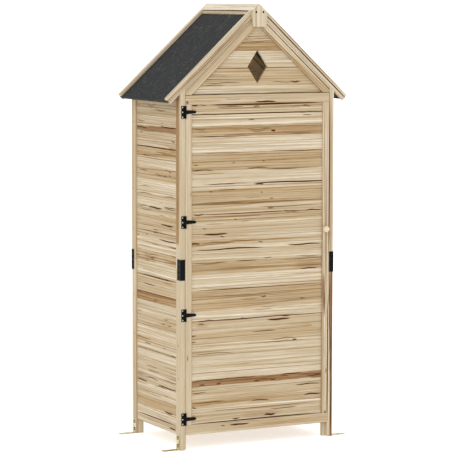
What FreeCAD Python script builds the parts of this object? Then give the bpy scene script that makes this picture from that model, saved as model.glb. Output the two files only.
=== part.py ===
import FreeCAD, Part
import math
import os
import re
import Sketcher
from FreeCAD import Vector

# Garden storage cabinet. Origin on the ground, midway between the posts; +Z up, front faces -Y.

os.makedirs("parts", exist_ok=True)
doc = FreeCAD.newDocument("Cabinet")

# Driving sizes, in mm and degrees
SIZES = (
    ("body_width", 700),
    ("body_depth", 460),
    ("ridge_height", 1790),
    ("roof_pitch", 42.5),
    ("post_width", 20),
    ("front_post_depth", 42),
    ("rear_post_depth", 38),
    ("post_joint_height", 731),
    ("board_thickness", 11),
    ("board_recess", 6),
    ("housing_depth", 6),
    ("board_gap", 0.3),
    ("board_chamfer", 1.2),
    ("tongue_half", 1.5),
    ("tongue_height", 4),
    ("tongue_play", 0.2),
    ("tongue_end_play", 0.5),
    ("panel_bottom", 58),
    ("panel_joint_height", 676),
    ("panel_joint_gap", 1),
    ("side_top_rise", 10),
    ("lower_board_count", 9),
    ("upper_board_count", 11),
    ("eave_step", 12.85),
    ("gable_recess", 10),
    ("gable_board_pitch", 69),
    ("vent_rise", 108),
    ("vent_half_width", 43.5),
    ("vent_half_height", 66),
    ("batten_thickness", 18),
    ("corner_batten_width", 14),
    ("lintel_drop", 35),
    ("lintel_rise", 10),
    ("door_gap", 1.5),
    ("door_bottom", 60.5),
    ("door_top_gap", 2),
    ("door_thickness", 18),
    ("door_board_recess", 7),
    ("stile_width", 28.5),
    ("top_rail_height", 37),
    ("bottom_rail_height", 40.5),
    ("door_joint_height", 522),
    ("door_lower_board_count", 6),
    ("door_upper_board_count", 13),
    ("door_batten_thickness", 16),
    ("door_batten_height", 50),
    ("door_batten_inset", 16.5),
    ("joint_batten_height", 530),
    ("joint_batten_depth", 60),
    ("cap_thickness", 8),
    ("cap_width", 41),
    ("cover_rise", 3),
    ("cover_width", 22),
    ("felt_thickness", 2),
    ("felt_inset", 6),
    ("felt_turn_down", 10),
    ("deck_thickness", 6),
    ("eave_overhang", 81.3),
    ("barge_width", 14.5),
    ("barge_thickness", 18),
    ("roof_batten_thickness", 17),
    ("ridge_batten_width", 30),
    ("rafter_width", 30.5),
    ("top_batten_width", 15),
    ("top_batten_thickness", 5),
    ("keystone_thickness", 10),
    ("keystone_half_width", 37),
    ("keystone_foot_half_width", 30),
    ("keystone_shoulder_drop", 35),
    ("keystone_drop", 92),
    ("steel_thickness", 1.5),
    ("connector_height", 84),
    ("connector_front_width", 19),
    ("connector_side_width", 29),
    ("connector_rear_width", 22),
    ("anchor_thickness", 2),
    ("anchor_width", 27),
    ("anchor_reach", 71),
    ("anchor_height", 60),
    ("anchor_inset", 10),
    ("anchor_hole_radius", 4.5),
    ("anchor_hole_edge", 13),
    ("floor_top", 88),
    ("floor_board_thickness", 10),
    ("floor_board_count", 6),
    ("floor_board_gap", 2),
    ("bearer_width", 30),
    ("bearer_height", 18),
    ("shelf_low_top", 550),
    ("shelf_high_top", 970),
    ("shelf_thickness", 10),
    ("shelf_front", 70),
    ("shelf_slat_count", 4),
    ("shelf_slat_gap", 8),
    ("cleat_size", 18),
    ("hinge_low", 126.6),
    ("hinge_second", 547.9),
    ("hinge_third", 922.5),
    ("hinge_drop", 66.1),
    ("leaf_height", 50),
    ("leaf_inset", 3),
    ("knuckle_radius", 3),
    ("pin_radius", 1.5),
    ("pin_play", 0.05),
    ("pin_side", 22),
    ("pin_offset", 3.4),
    ("strap_length", 47),
    ("strap_root_half", 8.5),
    ("strap_tip_half", 5.5),
    ("knuckle_play", 0.5),
    ("screw_radius", 1.5),
    ("screw_play", 0.05),
    ("knob_edge", 19.2),
    ("knob_height", 868.7),
    ("knob_radius", 12.5),
    ("knob_neck", 6),
    ("catch_height", 1020),
    ("catch_length", 40),
)

# Sizes that follow from the driving sizes
FOLLOWING = (
    ("frame_line", "gable_recess + board_thickness"),
    ("gable_top_depth", "cap_thickness + felt_thickness + deck_thickness + roof_batten_thickness"),
    ("inner_half", "body_width / 2 - post_width"),
    (
        "gable_bottom",
        "ridge_height - inner_half * tan(roof_pitch) - gable_top_depth / cos(roof_pitch) - eave_step",
    ),
    ("side_top_height", "gable_bottom + side_top_rise"),
    ("vent_height", "gable_bottom + vent_rise"),
    ("lintel_bottom", "gable_bottom - lintel_drop"),
    ("lintel_top", "gable_bottom + lintel_rise"),
    ("door_top", "gable_bottom - door_top_gap"),
    ("hinge_high", "door_top - hinge_drop"),
    ("deck_slope_length", "body_width / (2 * cos(roof_pitch)) + eave_overhang"),
    ("knob_side", "body_width - post_width - door_gap - knob_edge"),
)

sheet = doc.addObject("Spreadsheet::Sheet", "Sizes")
for row, (name, number) in enumerate(SIZES + FOLLOWING, start=1):
    sheet.set("A%d" % row, name)
    sheet.set("B%d" % row, str(number) if row <= len(SIZES) else "=" + number)
    sheet.setAlias("B%d" % row, name)
doc.recompute()

TOWARDS_FRONT = FreeCAD.Rotation(Vector(1, 0, 0), 90)
ALIASES = re.compile(r"\b(%s)\b" % "|".join(name for name, number in SIZES + FOLLOWING))
nodes = []

LEFT = "-body_width / 2"
FRONT = "-body_depth / 2"
REAR = "body_depth / 2"


def bind(item, field, text):
    item.setExpression(field, ALIASES.sub(r"Sizes.\1", str(text)))


def keep(item):
    nodes.append(item)
    return item


def box(label, corner, lengths):
    item = doc.addObject("Part::Box", label)
    for axis, text in zip("xyz", corner):
        bind(item, "Placement.Base." + axis, text)
    for field, text in zip(("Length", "Width", "Height"), lengths):
        bind(item, field, text)
    return item


def prism(label, role, outline, start, depth):
    # The outline lies in the named origin plane; XZ pads run towards -Y, YZ towards +X, XY towards +Z.
    body = doc.addObject("PartDesign::Body", label)
    plane = [part for part in body.Origin.OriginFeatures if part.Role == role][0]
    sketch = body.newObject("Sketcher::SketchObject", label + "_outline")
    sketch.AttachmentSupport = [(plane, "")]
    sketch.MapMode = "FlatFace"
    total = len(outline)
    corners = []
    for index in range(total):
        angle = 2 * math.pi * index / total
        corners.append(Vector(100 * math.cos(angle), 100 * math.sin(angle), 0))
    for index in range(total):
        sketch.addGeometry(Part.LineSegment(corners[index], corners[(index + 1) % total]), False)
    for index in range(total):
        sketch.addConstraint(Sketcher.Constraint("Coincident", index, 2, (index + 1) % total, 1))
    for index, point in enumerate(outline):
        corner = corners[index]
        for kind, text, number in (("DistanceX", point[0], corner.x), ("DistanceY", point[1], corner.y)):
            spot = sketch.addConstraint(Sketcher.Constraint(kind, -1, 1, index, 1, float(number)))
            bind(sketch, "Constraints[%d]" % spot, text)
    if role == "XZ_Plane":
        bind(sketch, "AttachmentOffset.Base.z", "-(%s) - (%s)" % (start, depth))
    else:
        bind(sketch, "AttachmentOffset.Base.z", start)
    pad = body.newObject("PartDesign::Pad", label + "_pad")
    pad.Profile = sketch
    bind(pad, "Length", depth)
    return body


def boards(label, role, outer, inward, bottom, height, count, start, depth):
    # Tongue-and-groove boards stacked upwards; the outer face has chamfered edges.
    pitch = "((%s) / (%s))" % (height, count)
    middle = "board_thickness / 2"
    slot = "(tongue_half + tongue_play)"
    outline = (
        ("0", "board_chamfer"),
        ("0", pitch + " - board_gap - board_chamfer"),
        ("board_chamfer", pitch + " - board_gap"),
        (middle + " - tongue_half", pitch + " - board_gap"),
        (middle + " - tongue_half", pitch + " - board_gap + tongue_height"),
        (middle + " + tongue_half", pitch + " - board_gap + tongue_height"),
        (middle + " + tongue_half", pitch + " - board_gap"),
        ("board_thickness", pitch + " - board_gap"),
        ("board_thickness", "0"),
        (middle + " + " + slot, "0"),
        (middle + " + " + slot, "tongue_height + tongue_end_play"),
        (middle + " - " + slot, "tongue_height + tongue_end_play"),
        (middle + " - " + slot, "0"),
        ("board_chamfer", "0"),
    )
    placed = []
    for across, up in outline:
        placed.append(("(%s) + (%s) * (%s)" % (outer, inward, across), "(%s) + %s" % (bottom, up)))
    body = prism(label, role, placed, start, depth)
    upright = [part for part in body.Origin.OriginFeatures if part.Role == "Z_Axis"][0]
    stack = body.newObject("PartDesign::LinearPattern", label + "_stack")
    stack.Originals = [body.Tip]
    stack.Direction = (upright, [""])
    bind(stack, "Length", "%s * ((%s) - 1)" % (pitch, count))
    bind(stack, "Occurrences", count)
    body.Tip = stack
    return body


def group(label, items):
    item = doc.addObject("Part::Compound", label)
    item.Links = items
    return item


def fused(label, items):
    item = doc.addObject("Part::MultiFuse", label)
    item.Shapes = items
    return item


def less(label, base, tool):
    item = doc.addObject("Part::Cut", label)
    item.Base = base
    item.Tool = tool
    return item


def mirrored(label, source, normal):
    item = doc.addObject("Part::Mirroring", label)
    item.Source = source
    item.Normal = Vector(*normal)
    return item


def rod(label, centre, radius, length):
    item = doc.addObject("Part::Cylinder", label)
    for axis, text in zip("xyz", centre):
        bind(item, "Placement.Base." + axis, text)
    bind(item, "Radius", radius)
    bind(item, "Height", length)
    return item


def cone(label, centre, foot, tip, length):
    # A round piece that stands out from the door's face, towards -Y
    item = doc.addObject("Part::Cone", label)
    item.Placement.Rotation = TOWARDS_FRONT
    for axis, text in zip("xyz", centre):
        bind(item, "Placement.Base." + axis, text)
    bind(item, "Radius1", foot)
    bind(item, "Radius2", tip)
    bind(item, "Height", length)
    return item


def plumb(across, depth):
    # A point under the roof line, straight below it at a distance across from the ridge
    return (across, "ridge_height - (%s) * tan(roof_pitch) - (%s) / cos(roof_pitch)" % (across, depth))


def square(along, depth):
    # A point on a cut square to the slope, at a distance along the slope
    x = "(%s) * cos(roof_pitch) - (%s) * sin(roof_pitch)" % (along, depth)
    z = "ridge_height - (%s) * sin(roof_pitch) - (%s) * cos(roof_pitch)" % (along, depth)
    return (x, z)


# Corner posts, in two lengths, with housings for the board ends
post_top = "barge_width + cap_thickness + felt_thickness"


def post(label, side, start, depth, low, rear):
    outer = "%d * body_width / 2" % side
    inner = "%d * (body_width / 2 - post_width)" % side
    if low:
        outline = ((outer, "0"), (inner, "0"), (inner, "post_joint_height"), (outer, "post_joint_height"))
    else:
        inner_top = plumb("body_width / 2 - post_width", post_top)[1]
        outer_top = plumb("body_width / 2", post_top)[1]
        foot = ((outer, "post_joint_height"), (inner, "post_joint_height"))
        outline = foot + ((inner, inner_top), (outer, outer_top))
    blank = prism(label + "_blank", "XZ_Plane", outline, start, depth)
    corner_x = "-board_thickness / 2 + %d * (body_width / 2 - board_recess - board_thickness / 2)" % side
    corner_y = "%s - 1" % start if rear else "%s + %s - housing_depth" % (start, depth)
    slot = ("board_thickness", "housing_depth + 1", "ridge_height")
    cuts = [box(label + "_side_housing", (corner_x, corner_y, "-1"), slot)]
    if rear:
        middle = "(body_width / 2 - post_width + (housing_depth - 1) / 2)"
        edge = "-(housing_depth + 1) / 2 + %d * %s" % (side, middle)
        deep = "%s - frame_line" % REAR
        tall = ("housing_depth + 1", "board_thickness", "gable_bottom + tongue_height + 1")
        cuts.append(box(label + "_back_housing", (edge, deep, "-1"), tall))
    return keep(less(label, blank, group(label + "_cuts", cuts)))


rear_start = "%s - rear_post_depth" % REAR
for side, word in ((-1, "left"), (1, "right")):
    for low, level in ((True, "lower"), (False, "upper")):
        post("post_front_%s_%s" % (word, level), side, FRONT, "front_post_depth", low, False)
        post("post_rear_%s_%s" % (word, level), side, rear_start, "rear_post_depth", low, True)

# Corner battens: the two in front are the door stops
corner_battens = []
for side in (-1, 1):
    x = "-corner_batten_width / 2 + %d * (body_width / 2 - post_width - corner_batten_width / 2)" % side
    tall = ("corner_batten_width", "batten_thickness", "lintel_bottom")
    rear_y = "%s - frame_line - batten_thickness" % REAR
    corner_battens.append(box("batten_front_%d" % (side + 1), (x, "%s + frame_line" % FRONT, "0"), tall))
    corner_battens.append(box("batten_rear_%d" % (side + 1), (x, rear_y, "0"), tall))
keep(group("corner_battens", corner_battens))

# Side and back boards
side_start = "%s + front_post_depth - housing_depth" % FRONT
side_depth = "body_depth - front_post_depth - rear_post_depth + 2 * housing_depth"
side_outer = "%s + board_recess" % LEFT
back_outer = "%s - gable_recess" % REAR
back_start = "%s + post_width - housing_depth" % LEFT
back_depth = "body_width - 2 * post_width + 2 * housing_depth"
joint_low = "(panel_joint_height - panel_joint_gap / 2)"
joint_high = "(panel_joint_height + panel_joint_gap / 2)"
levels = (
    ("lower", "panel_bottom", "%s - panel_bottom" % joint_low, "lower_board_count"),
    ("upper", joint_high, "side_top_height - %s" % joint_high, "upper_board_count"),
)
for level, bottom, height, count in levels:
    name = "side_boards_left_" + level
    left = boards(name, "XZ_Plane", side_outer, "1", bottom, height, count, side_start, side_depth)
    keep(left)
    keep(mirrored("side_boards_right_" + level, left, (1, 0, 0)))
    if level == "upper":
        height = "gable_bottom - %s" % joint_high
    name = "back_boards_" + level
    keep(boards(name, "YZ_Plane", back_outer, "-1", bottom, height, count, back_start, back_depth))

# Gables: boards cut to the slope, the front one with a diamond vent
gable_count = "ceil((ridge_height - (%s) / cos(roof_pitch) - gable_bottom) / gable_board_pitch)" % post_top
gable_outline = (
    plumb("0", post_top),
    plumb("inner_half", post_top),
    ("inner_half", "gable_bottom"),
    ("-inner_half", "gable_bottom"),
    ("-inner_half", plumb("inner_half", post_top)[1]),
)
gable_face = "%s + gable_recess" % FRONT
gable_rise = "gable_board_pitch * %s" % gable_count
stack_up = ("gable_bottom", gable_rise, gable_count)
stack = boards("gable_stack", "YZ_Plane", gable_face, "1", *stack_up, "-inner_half", "2 * inner_half")
field = prism("gable_field", "XZ_Plane", gable_outline, "%s - 1" % gable_face, "board_thickness + 2")
plain = doc.addObject("Part::Common", "gable_plain")
plain.Base = stack
plain.Tool = field
vent_outline = (
    ("vent_half_width", "vent_height"),
    ("0", "vent_height + vent_half_height"),
    ("-vent_half_width", "vent_height"),
    ("0", "vent_height - vent_half_height"),
)
vent = prism("vent", "XZ_Plane", vent_outline, "%s - 1" % gable_face, "board_thickness + 2")
keep(less("gable_boards_front", plain, vent))
keep(mirrored("gable_boards_rear", plain, (0, 1, 0)))


def slope_pair(label, upper, lower, foot, start, depth):
    # A left and a right piece along the slopes, cut level at the foot and plumb at the posts
    reach = "(ridge_height - (%s) / cos(roof_pitch) - %s) / tan(roof_pitch)" % (lower, foot)
    pair = []
    for side in (-1, 1):
        outline = []
        head = (plumb("0", upper), plumb("inner_half", upper))
        for x, z in head + (("inner_half", foot), (reach, foot), plumb("0", lower)):
            outline.append(("%d * (%s)" % (side, x), z))
        pair.append(prism("%s_%d" % (label, side + 1), "XZ_Plane", outline, start, depth))
    return group(label, pair)


rafter_low = "gable_top_depth + rafter_width"
rafter_run = (FRONT, "gable_recess")
rafters = slope_pair("gable_rafters_front", "gable_top_depth", rafter_low, "gable_bottom", *rafter_run)
keep(group("gable_rafters", [rafters, mirrored("gable_rafters_rear", rafters, (0, 1, 0))]))
cleat_y = "%s + frame_line" % FRONT
cleat_run = (cleat_y, "batten_thickness")
cleats = slope_pair("gable_cleats_front", "gable_top_depth", rafter_low, "lintel_top", *cleat_run)
keep(group("gable_cleats", [cleats, mirrored("gable_cleats_rear", cleats, (0, 1, 0))]))

lintel_size = ("body_width - 2 * post_width", "batten_thickness", "lintel_top - lintel_bottom")
lintel_x = "%s + post_width" % LEFT
front_lintel = keep(box("front_lintel", (lintel_x, cleat_y, "lintel_bottom"), lintel_size))
keep(mirrored("rear_lintel", front_lintel, (0, 1, 0)))

# Roof: deck, felt turned down over the eave, battens, barge boards and cover battens
felt_bed = "cap_thickness"
deck_top = "cap_thickness + felt_thickness"
deck_low = "cap_thickness + felt_thickness + deck_thickness"
eave = "deck_slope_length"
eave_felt = "deck_slope_length + felt_thickness"
roof_start = "%s + barge_thickness" % FRONT
roof_depth = "body_depth - 2 * barge_thickness"


def on_side(label, side, corners, start, depth):
    outline = [("%d * (%s)" % (side, x), z) for x, z in corners]
    return prism(label, "XZ_Plane", outline, start, depth)


deck_corners = (plumb("0", deck_top), square(eave, deck_top), square(eave, deck_low), plumb("0", deck_low))
felt_corners = (
    plumb("0", felt_bed),
    square(eave_felt, felt_bed),
    square(eave_felt, felt_bed + " + felt_turn_down"),
    square(eave, felt_bed + " + felt_turn_down"),
    square(eave, deck_top),
    plumb("0", deck_top),
)
end_corners = (
    plumb("0", deck_low),
    plumb("inner_half", deck_low),
    plumb("inner_half", "gable_top_depth"),
    plumb("0", "gable_top_depth"),
)
ridge_corners = (
    plumb("0", deck_low),
    plumb("ridge_batten_width", deck_low),
    plumb("ridge_batten_width", "gable_top_depth"),
    plumb("0", "gable_top_depth"),
)
eave_in = "body_width / 2 - post_width - ridge_batten_width"
eave_corners = (
    plumb(eave_in, deck_low),
    plumb("inner_half", deck_low),
    plumb("inner_half", "gable_top_depth"),
    plumb(eave_in, "gable_top_depth"),
)
cap_corners = (plumb("0", "0"), square("cap_width", "0"), square("cap_width", felt_bed), plumb("0", felt_bed))
strip_edge = "cap_width + top_batten_width"
strip_top = "cap_thickness - top_batten_thickness"
strip_corners = (
    square("cap_width", strip_top),
    square(strip_edge, strip_top),
    square(strip_edge, felt_bed),
    square("cap_width", felt_bed),
)
barge_corners = (
    plumb("0", deck_top),
    square(eave, deck_top),
    square(eave, post_top),
    plumb("0", post_top),
)
cover_corners = (
    square("cap_width", "-cover_rise"),
    square(eave, "-cover_rise"),
    square(eave, felt_bed),
    square("cap_width", felt_bed),
)
end_y = "%s + frame_line" % FRONT
inner_y = "%s + frame_line + batten_thickness" % FRONT
inner_run = "body_depth - 2 * (frame_line + batten_thickness)"
top_battens = []
barges = []
covers = []
for side, word in ((-1, "left"), (1, "right")):
    keep(on_side("roof_deck_" + word, side, deck_corners, roof_start, roof_depth))
    felt_run = ("%s + felt_inset" % FRONT, "body_depth - 2 * felt_inset")
    keep(on_side("roof_felt_" + word, side, felt_corners, *felt_run))
    end = on_side("end_batten_" + word, side, end_corners, end_y, "batten_thickness")
    ridge = on_side("ridge_batten_" + word, side, ridge_corners, inner_y, inner_run)
    low = on_side("eave_batten_" + word, side, eave_corners, inner_y, inner_run)
    rear_end = mirrored("end_batten_rear_" + word, end, (0, 1, 0))
    keep(group("roof_battens_" + word, [end, rear_end, ridge, low]))
    keep(on_side("ridge_cap_" + word, side, cap_corners, FRONT, "body_depth"))
    top_battens.append(on_side("top_batten_" + word, side, strip_corners, "%s + cover_width" % FRONT,
                               "body_depth - 2 * cover_width"))
    barges.append(on_side("barge_" + word, side, barge_corners, FRONT, "barge_thickness"))
    covers.append(on_side("cover_" + word, side, cover_corners, FRONT, "cover_width"))
keep(group("top_battens", top_battens))
barge_front = keep(group("barge_boards_front", barges))
keep(mirrored("barge_boards_rear", barge_front, (0, 1, 0)))
cover_front = group("verge_covers_front", covers)
keep(group("verge_covers", [cover_front, mirrored("verge_covers_rear", cover_front, (0, 1, 0))]))

# Keystone plates
keystone_outline = (
    ("0", "ridge_height - 1"),
    ("keystone_half_width", "ridge_height - keystone_shoulder_drop"),
    ("keystone_foot_half_width", "ridge_height - keystone_drop"),
    ("-keystone_foot_half_width", "ridge_height - keystone_drop"),
    ("-keystone_half_width", "ridge_height - keystone_shoulder_drop"),
)
keystone_y = "%s - keystone_thickness" % FRONT
keystone = prism("keystone_front", "XZ_Plane", keystone_outline, keystone_y, "keystone_thickness")
keep(group("keystone_plates", [keystone, mirrored("keystone_rear", keystone, (0, 1, 0))]))

# Steel connectors over the post joints
connector_low = "post_joint_height - connector_height / 2"
outside = "-(body_width / 2 + steel_thickness)"
connector_blanks = []
for word, face, skin, flange in (
    ("front", FRONT, "-steel_thickness", "connector_side_width"),
    ("rear", REAR, "steel_thickness", "-connector_rear_width"),
):
    outline = (
        (outside, "%s + %s" % (face, skin)),
        ("%s + connector_front_width" % LEFT, "%s + %s" % (face, skin)),
        ("%s + connector_front_width" % LEFT, face),
        (LEFT, face),
        (LEFT, "%s + %s" % (face, flange)),
        (outside, "%s + %s" % (face, flange)),
    )
    label = "connector_" + word
    connector_blanks.append(prism(label, "XY_Plane", outline, connector_low, "connector_height"))
left_connectors = group("left_connectors", connector_blanks)
keep(group("post_connectors", [left_connectors, mirrored("right_connectors", left_connectors, (1, 0, 0))]))

# Ground anchors
anchor_outer = "-(body_width / 2 + anchor_reach)"
anchor_skin = "-(body_width / 2 + anchor_thickness)"
anchor_outline = (
    (anchor_outer, "0"),
    (LEFT, "0"),
    (LEFT, "anchor_height"),
    (anchor_skin, "anchor_height"),
    (anchor_skin, "anchor_thickness"),
    (anchor_outer, "anchor_thickness"),
)
anchors = []
holes = []
for word, row in (("front", "anchor_inset"), ("rear", "body_depth - anchor_inset - anchor_width")):
    anchor_y = "%s + %s" % (FRONT, row)
    anchors.append(prism("anchor_" + word, "XZ_Plane", anchor_outline, anchor_y, "anchor_width"))
    centre = ("%s + anchor_hole_edge" % anchor_outer, "%s + %s + anchor_width / 2" % (FRONT, row), "-1")
    holes.append(rod("anchor_hole_" + word, centre, "anchor_hole_radius", "anchor_thickness + 2"))
left_anchors = less("left_anchors", group("anchor_blanks", anchors), group("anchor_holes", holes))
keep(group("ground_anchors", [left_anchors, mirrored("right_anchors", left_anchors, (1, 0, 0))]))

# Floor and shelves
floor_front = "%s + front_post_depth - 2" % FRONT
floor_run = "(body_depth - front_post_depth + 2 - frame_line)"
floor_pitch = "(%s + floor_board_gap) / floor_board_count" % floor_run
inside = "(body_width - 2 * post_width - 2 * corner_batten_width)"


def slats(label, x, y, z, length, thickness, run, count, gap):
    pitch = "((%s + %s) / %s)" % (run, gap, count)
    outline = ((x, z), ("%s + %s" % (x, length), z), ("%s + %s" % (x, length), "%s + %s" % (z, thickness)),
               (x, "%s + %s" % (z, thickness)))
    body = prism(label, "XZ_Plane", outline, y, "%s - %s" % (pitch, gap))
    inwards = [part for part in body.Origin.OriginFeatures if part.Role == "Y_Axis"][0]
    row = body.newObject("PartDesign::LinearPattern", label + "_row")
    row.Originals = [body.Tip]
    row.Direction = (inwards, [""])
    bind(row, "Length", "%s * (%s - 1)" % (pitch, count))
    bind(row, "Occurrences", count)
    body.Tip = row
    return body


floor_x = "-%s / 2 + 1" % inside
floor_low = "floor_top - floor_board_thickness"
floor_row = (floor_run, "floor_board_count", "floor_board_gap")
floor_sizes = ("%s - 2" % inside, "floor_board_thickness")
keep(slats("floor_boards", floor_x, floor_front, floor_low, *floor_sizes, *floor_row))
board_inner = "(body_width / 2 - board_recess - board_thickness)"
bearer_run = "body_depth - front_post_depth - frame_line - batten_thickness"
bearer_y = "%s + front_post_depth" % FRONT
bearer_z = "floor_top - floor_board_thickness - bearer_height"
bearer_sizes = ("bearer_width", bearer_run, "bearer_height")
bearer = box("bearer_left", ("-" + board_inner, bearer_y, bearer_z), bearer_sizes)
keep(group("floor_bearers", [bearer, mirrored("bearer_right", bearer, (1, 0, 0))]))
shelf_run = "(body_depth - frame_line - batten_thickness - shelf_front)"
shelf_y = "%s + shelf_front" % FRONT
shelf_cleats = []
shelves = []
for word in ("low", "high"):
    base = "shelf_%s_top - shelf_thickness" % word
    shelf_sizes = ("2 * " + board_inner, "shelf_thickness")
    shelf_row = (shelf_run, "shelf_slat_count", "shelf_slat_gap")
    shelves.append(slats("shelf_" + word, "-" + board_inner, shelf_y, base, *shelf_sizes, *shelf_row))
    sizes = ("cleat_size", shelf_run, "cleat_size")
    cleat = box("cleat_left_" + word, ("-" + board_inner, shelf_y, base + " - cleat_size"), sizes)
    shelf_cleats += [cleat, mirrored("cleat_right_" + word, cleat, (1, 0, 0))]
keep(group("shelf_boards", shelves))
keep(group("shelf_cleats", shelf_cleats))

# T-hinges: leaf and pin on the post, strap on the door
pin_x = "%s + pin_side" % LEFT
pin_y = "%s - pin_offset" % FRONT
bore = "pin_radius + pin_play"
leaves = []
straps = []
pins = []
for word in ("low", "second", "third", "high"):
    middle = "hinge_" + word
    plate_low = "%s - leaf_height / 2" % middle
    plate = box("leaf_plate_" + word, ("%s + leaf_inset" % LEFT, "%s - steel_thickness" % FRONT, plate_low),
                ("pin_side - leaf_inset - knuckle_radius - knuckle_play", "steel_thickness", "leaf_height"))
    parts = [plate]
    knuckle_run = "leaf_height / 2 - strap_root_half - knuckle_play"
    for end, low in (("foot", plate_low), ("head", "%s + strap_root_half + knuckle_play" % middle)):
        lap_x = "%s + leaf_inset" % LEFT
        lap = ("pin_side - leaf_inset - 1", "steel_thickness", knuckle_run)
        parts.append(box("leaf_lap_%s_%s" % (end, word), (lap_x, "%s - steel_thickness" % FRONT, low), lap))
        label = "leaf_knuckle_%s_%s" % (end, word)
        parts.append(rod(label, (pin_x, pin_y, low), "knuckle_radius", knuckle_run))
    hole = rod("leaf_bore_" + word, (pin_x, pin_y, plate_low + " - 1"), bore, "leaf_height + 2")
    leaves.append(less("leaf_" + word, fused("leaf_solid_" + word, parts), hole))
    pins.append(rod("pin_" + word, (pin_x, pin_y, "%s - 0.5" % plate_low), "pin_radius", "leaf_height + 1"))
    tip = "%s + strap_length" % pin_x
    outline = (
        (pin_x, "%s - strap_root_half" % middle),
        ("%s - 5.5" % tip, "%s - strap_tip_half" % middle),
        ("%s - 1.6" % tip, "%s - 0.7 * strap_tip_half" % middle),
        (tip, "%s - 0.25 * strap_tip_half" % middle),
        (tip, "%s + 0.25 * strap_tip_half" % middle),
        ("%s - 1.6" % tip, "%s + 0.7 * strap_tip_half" % middle),
        ("%s - 5.5" % tip, "%s + strap_tip_half" % middle),
        (pin_x, "%s + strap_root_half" % middle),
    )
    arm = prism("strap_arm_" + word, "XZ_Plane", outline, "%s - steel_thickness" % FRONT, "steel_thickness")
    barrel = rod("strap_knuckle_" + word, (pin_x, pin_y, "%s - strap_root_half" % middle), "knuckle_radius",
                 "2 * strap_root_half")
    rib = box("strap_rib_" + word, (pin_x + " + 18", "%s - steel_thickness - 1" % FRONT, "%s - 1.5" % middle),
              ("strap_length - 30", "1.5", "3"))
    straps.append(less("strap_" + word, fused("strap_solid_" + word, [arm, barrel, rib]), hole))
keep(group("hinge_leaves", leaves))
keep(group("hinge_pins", pins))
keep(group("hinge_straps", straps))

# Door frame, boards and inner battens
knob_x = "%s + knob_side" % LEFT
knob_foot = (knob_x, "%s + door_thickness + 1" % FRONT, "knob_height")
knob_bite = "(knob_neck + 0.8 * knob_radius)"
door_left = "(%s + post_width + door_gap)" % LEFT
door_wide = "(body_width - 2 * post_width - 2 * door_gap)"
rebate_y = "%s + door_board_recess" % FRONT
rebate_deep = "door_thickness - door_board_recess"
rail_long = "(%s - 2 * stile_width)" % door_wide
rail_x = "(%s + stile_width)" % door_left
panel_x = "%s - housing_depth" % rail_x
panel_long = "%s + 2 * housing_depth" % rail_long
top_low = "(door_top - top_rail_height)"
low_top = "(door_bottom + bottom_rail_height)"
low_cut = "(%s - housing_depth)" % low_top
rail_rebate = "housing_depth + tongue_height + 2"
for label, low, tall, cut_low, cut_tall in (
    ("door_top_rail", top_low, "top_rail_height", "%s - 1" % top_low, rail_rebate),
    ("door_bottom_rail", "door_bottom", "bottom_rail_height", low_cut, "housing_depth + 1"),
):
    blank = box(label + "_blank", (door_left, FRONT, low), (door_wide, "door_thickness", tall))
    sizes = (panel_long, rebate_deep + " + 1", cut_tall)
    rebate = box(label + "_rebate", (panel_x, rebate_y, cut_low), sizes)
    keep(less(label, blank, rebate))
for side, word in ((-1, "left"), (1, "right")):
    x = "-stile_width / 2 + %d * (%s / 2 - stile_width / 2)" % (side, door_wide)
    middle = "(%s / 2 - stile_width + (housing_depth - 1) / 2)" % door_wide
    cut_x = "-(housing_depth + 1) / 2 + %d * %s" % (side, middle)
    for level, low, tall in (
        ("lower", low_top, "door_joint_height - %s" % low_top),
        ("upper", "door_joint_height", "%s - door_joint_height" % top_low),
    ):
        label = "door_stile_%s_%s" % (word, level)
        blank = box(label + "_blank", (x, FRONT, low), ("stile_width", "door_thickness", tall))
        sizes = ("housing_depth + 1", rebate_deep + " + 1", tall + " + 2")
        cuts = [box(label + "_rebate", (cut_x, rebate_y, low + " - 1"), sizes)]
        if side > 0 and level == "upper":
            hole = rod(label + "_hole", knob_foot, "screw_radius + screw_play", "door_thickness + 2")
            hole.Placement.Rotation = TOWARDS_FRONT
            cuts.append(hole)
        keep(less(label, blank, group(label + "_cuts", cuts)))
door_joint = "(door_joint_height - 2)"
panels = (
    ("lower", low_cut, "%s - panel_joint_gap / 2 - %s" % (door_joint, low_cut), "door_lower_board_count"),
    ("upper", "%s + panel_joint_gap / 2" % door_joint,
     "%s + housing_depth - %s - panel_joint_gap / 2" % (top_low, door_joint), "door_upper_board_count"),
)
for level, bottom, height, count in panels:
    name = "door_boards_" + level
    keep(boards(name, "YZ_Plane", rebate_y, "1", bottom, height, count, panel_x, panel_long))
batten_x = "%s + door_batten_inset" % door_left
batten_long = "%s - 2 * door_batten_inset" % door_wide
batten_y = "%s + door_thickness" % FRONT
door_battens = []
for word, middle, tall in (
    ("low", "hinge_low", "door_batten_height"),
    ("joint", "joint_batten_height", "joint_batten_depth"),
    ("third", "hinge_third", "door_batten_height"),
    ("high", "hinge_high", "door_batten_height"),
):
    corner = (batten_x, batten_y, "%s - %s / 2" % (middle, tall))
    door_battens.append(box("door_batten_" + word, corner, (batten_long, "door_batten_thickness", tall)))
keep(group("door_battens", door_battens))

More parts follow.
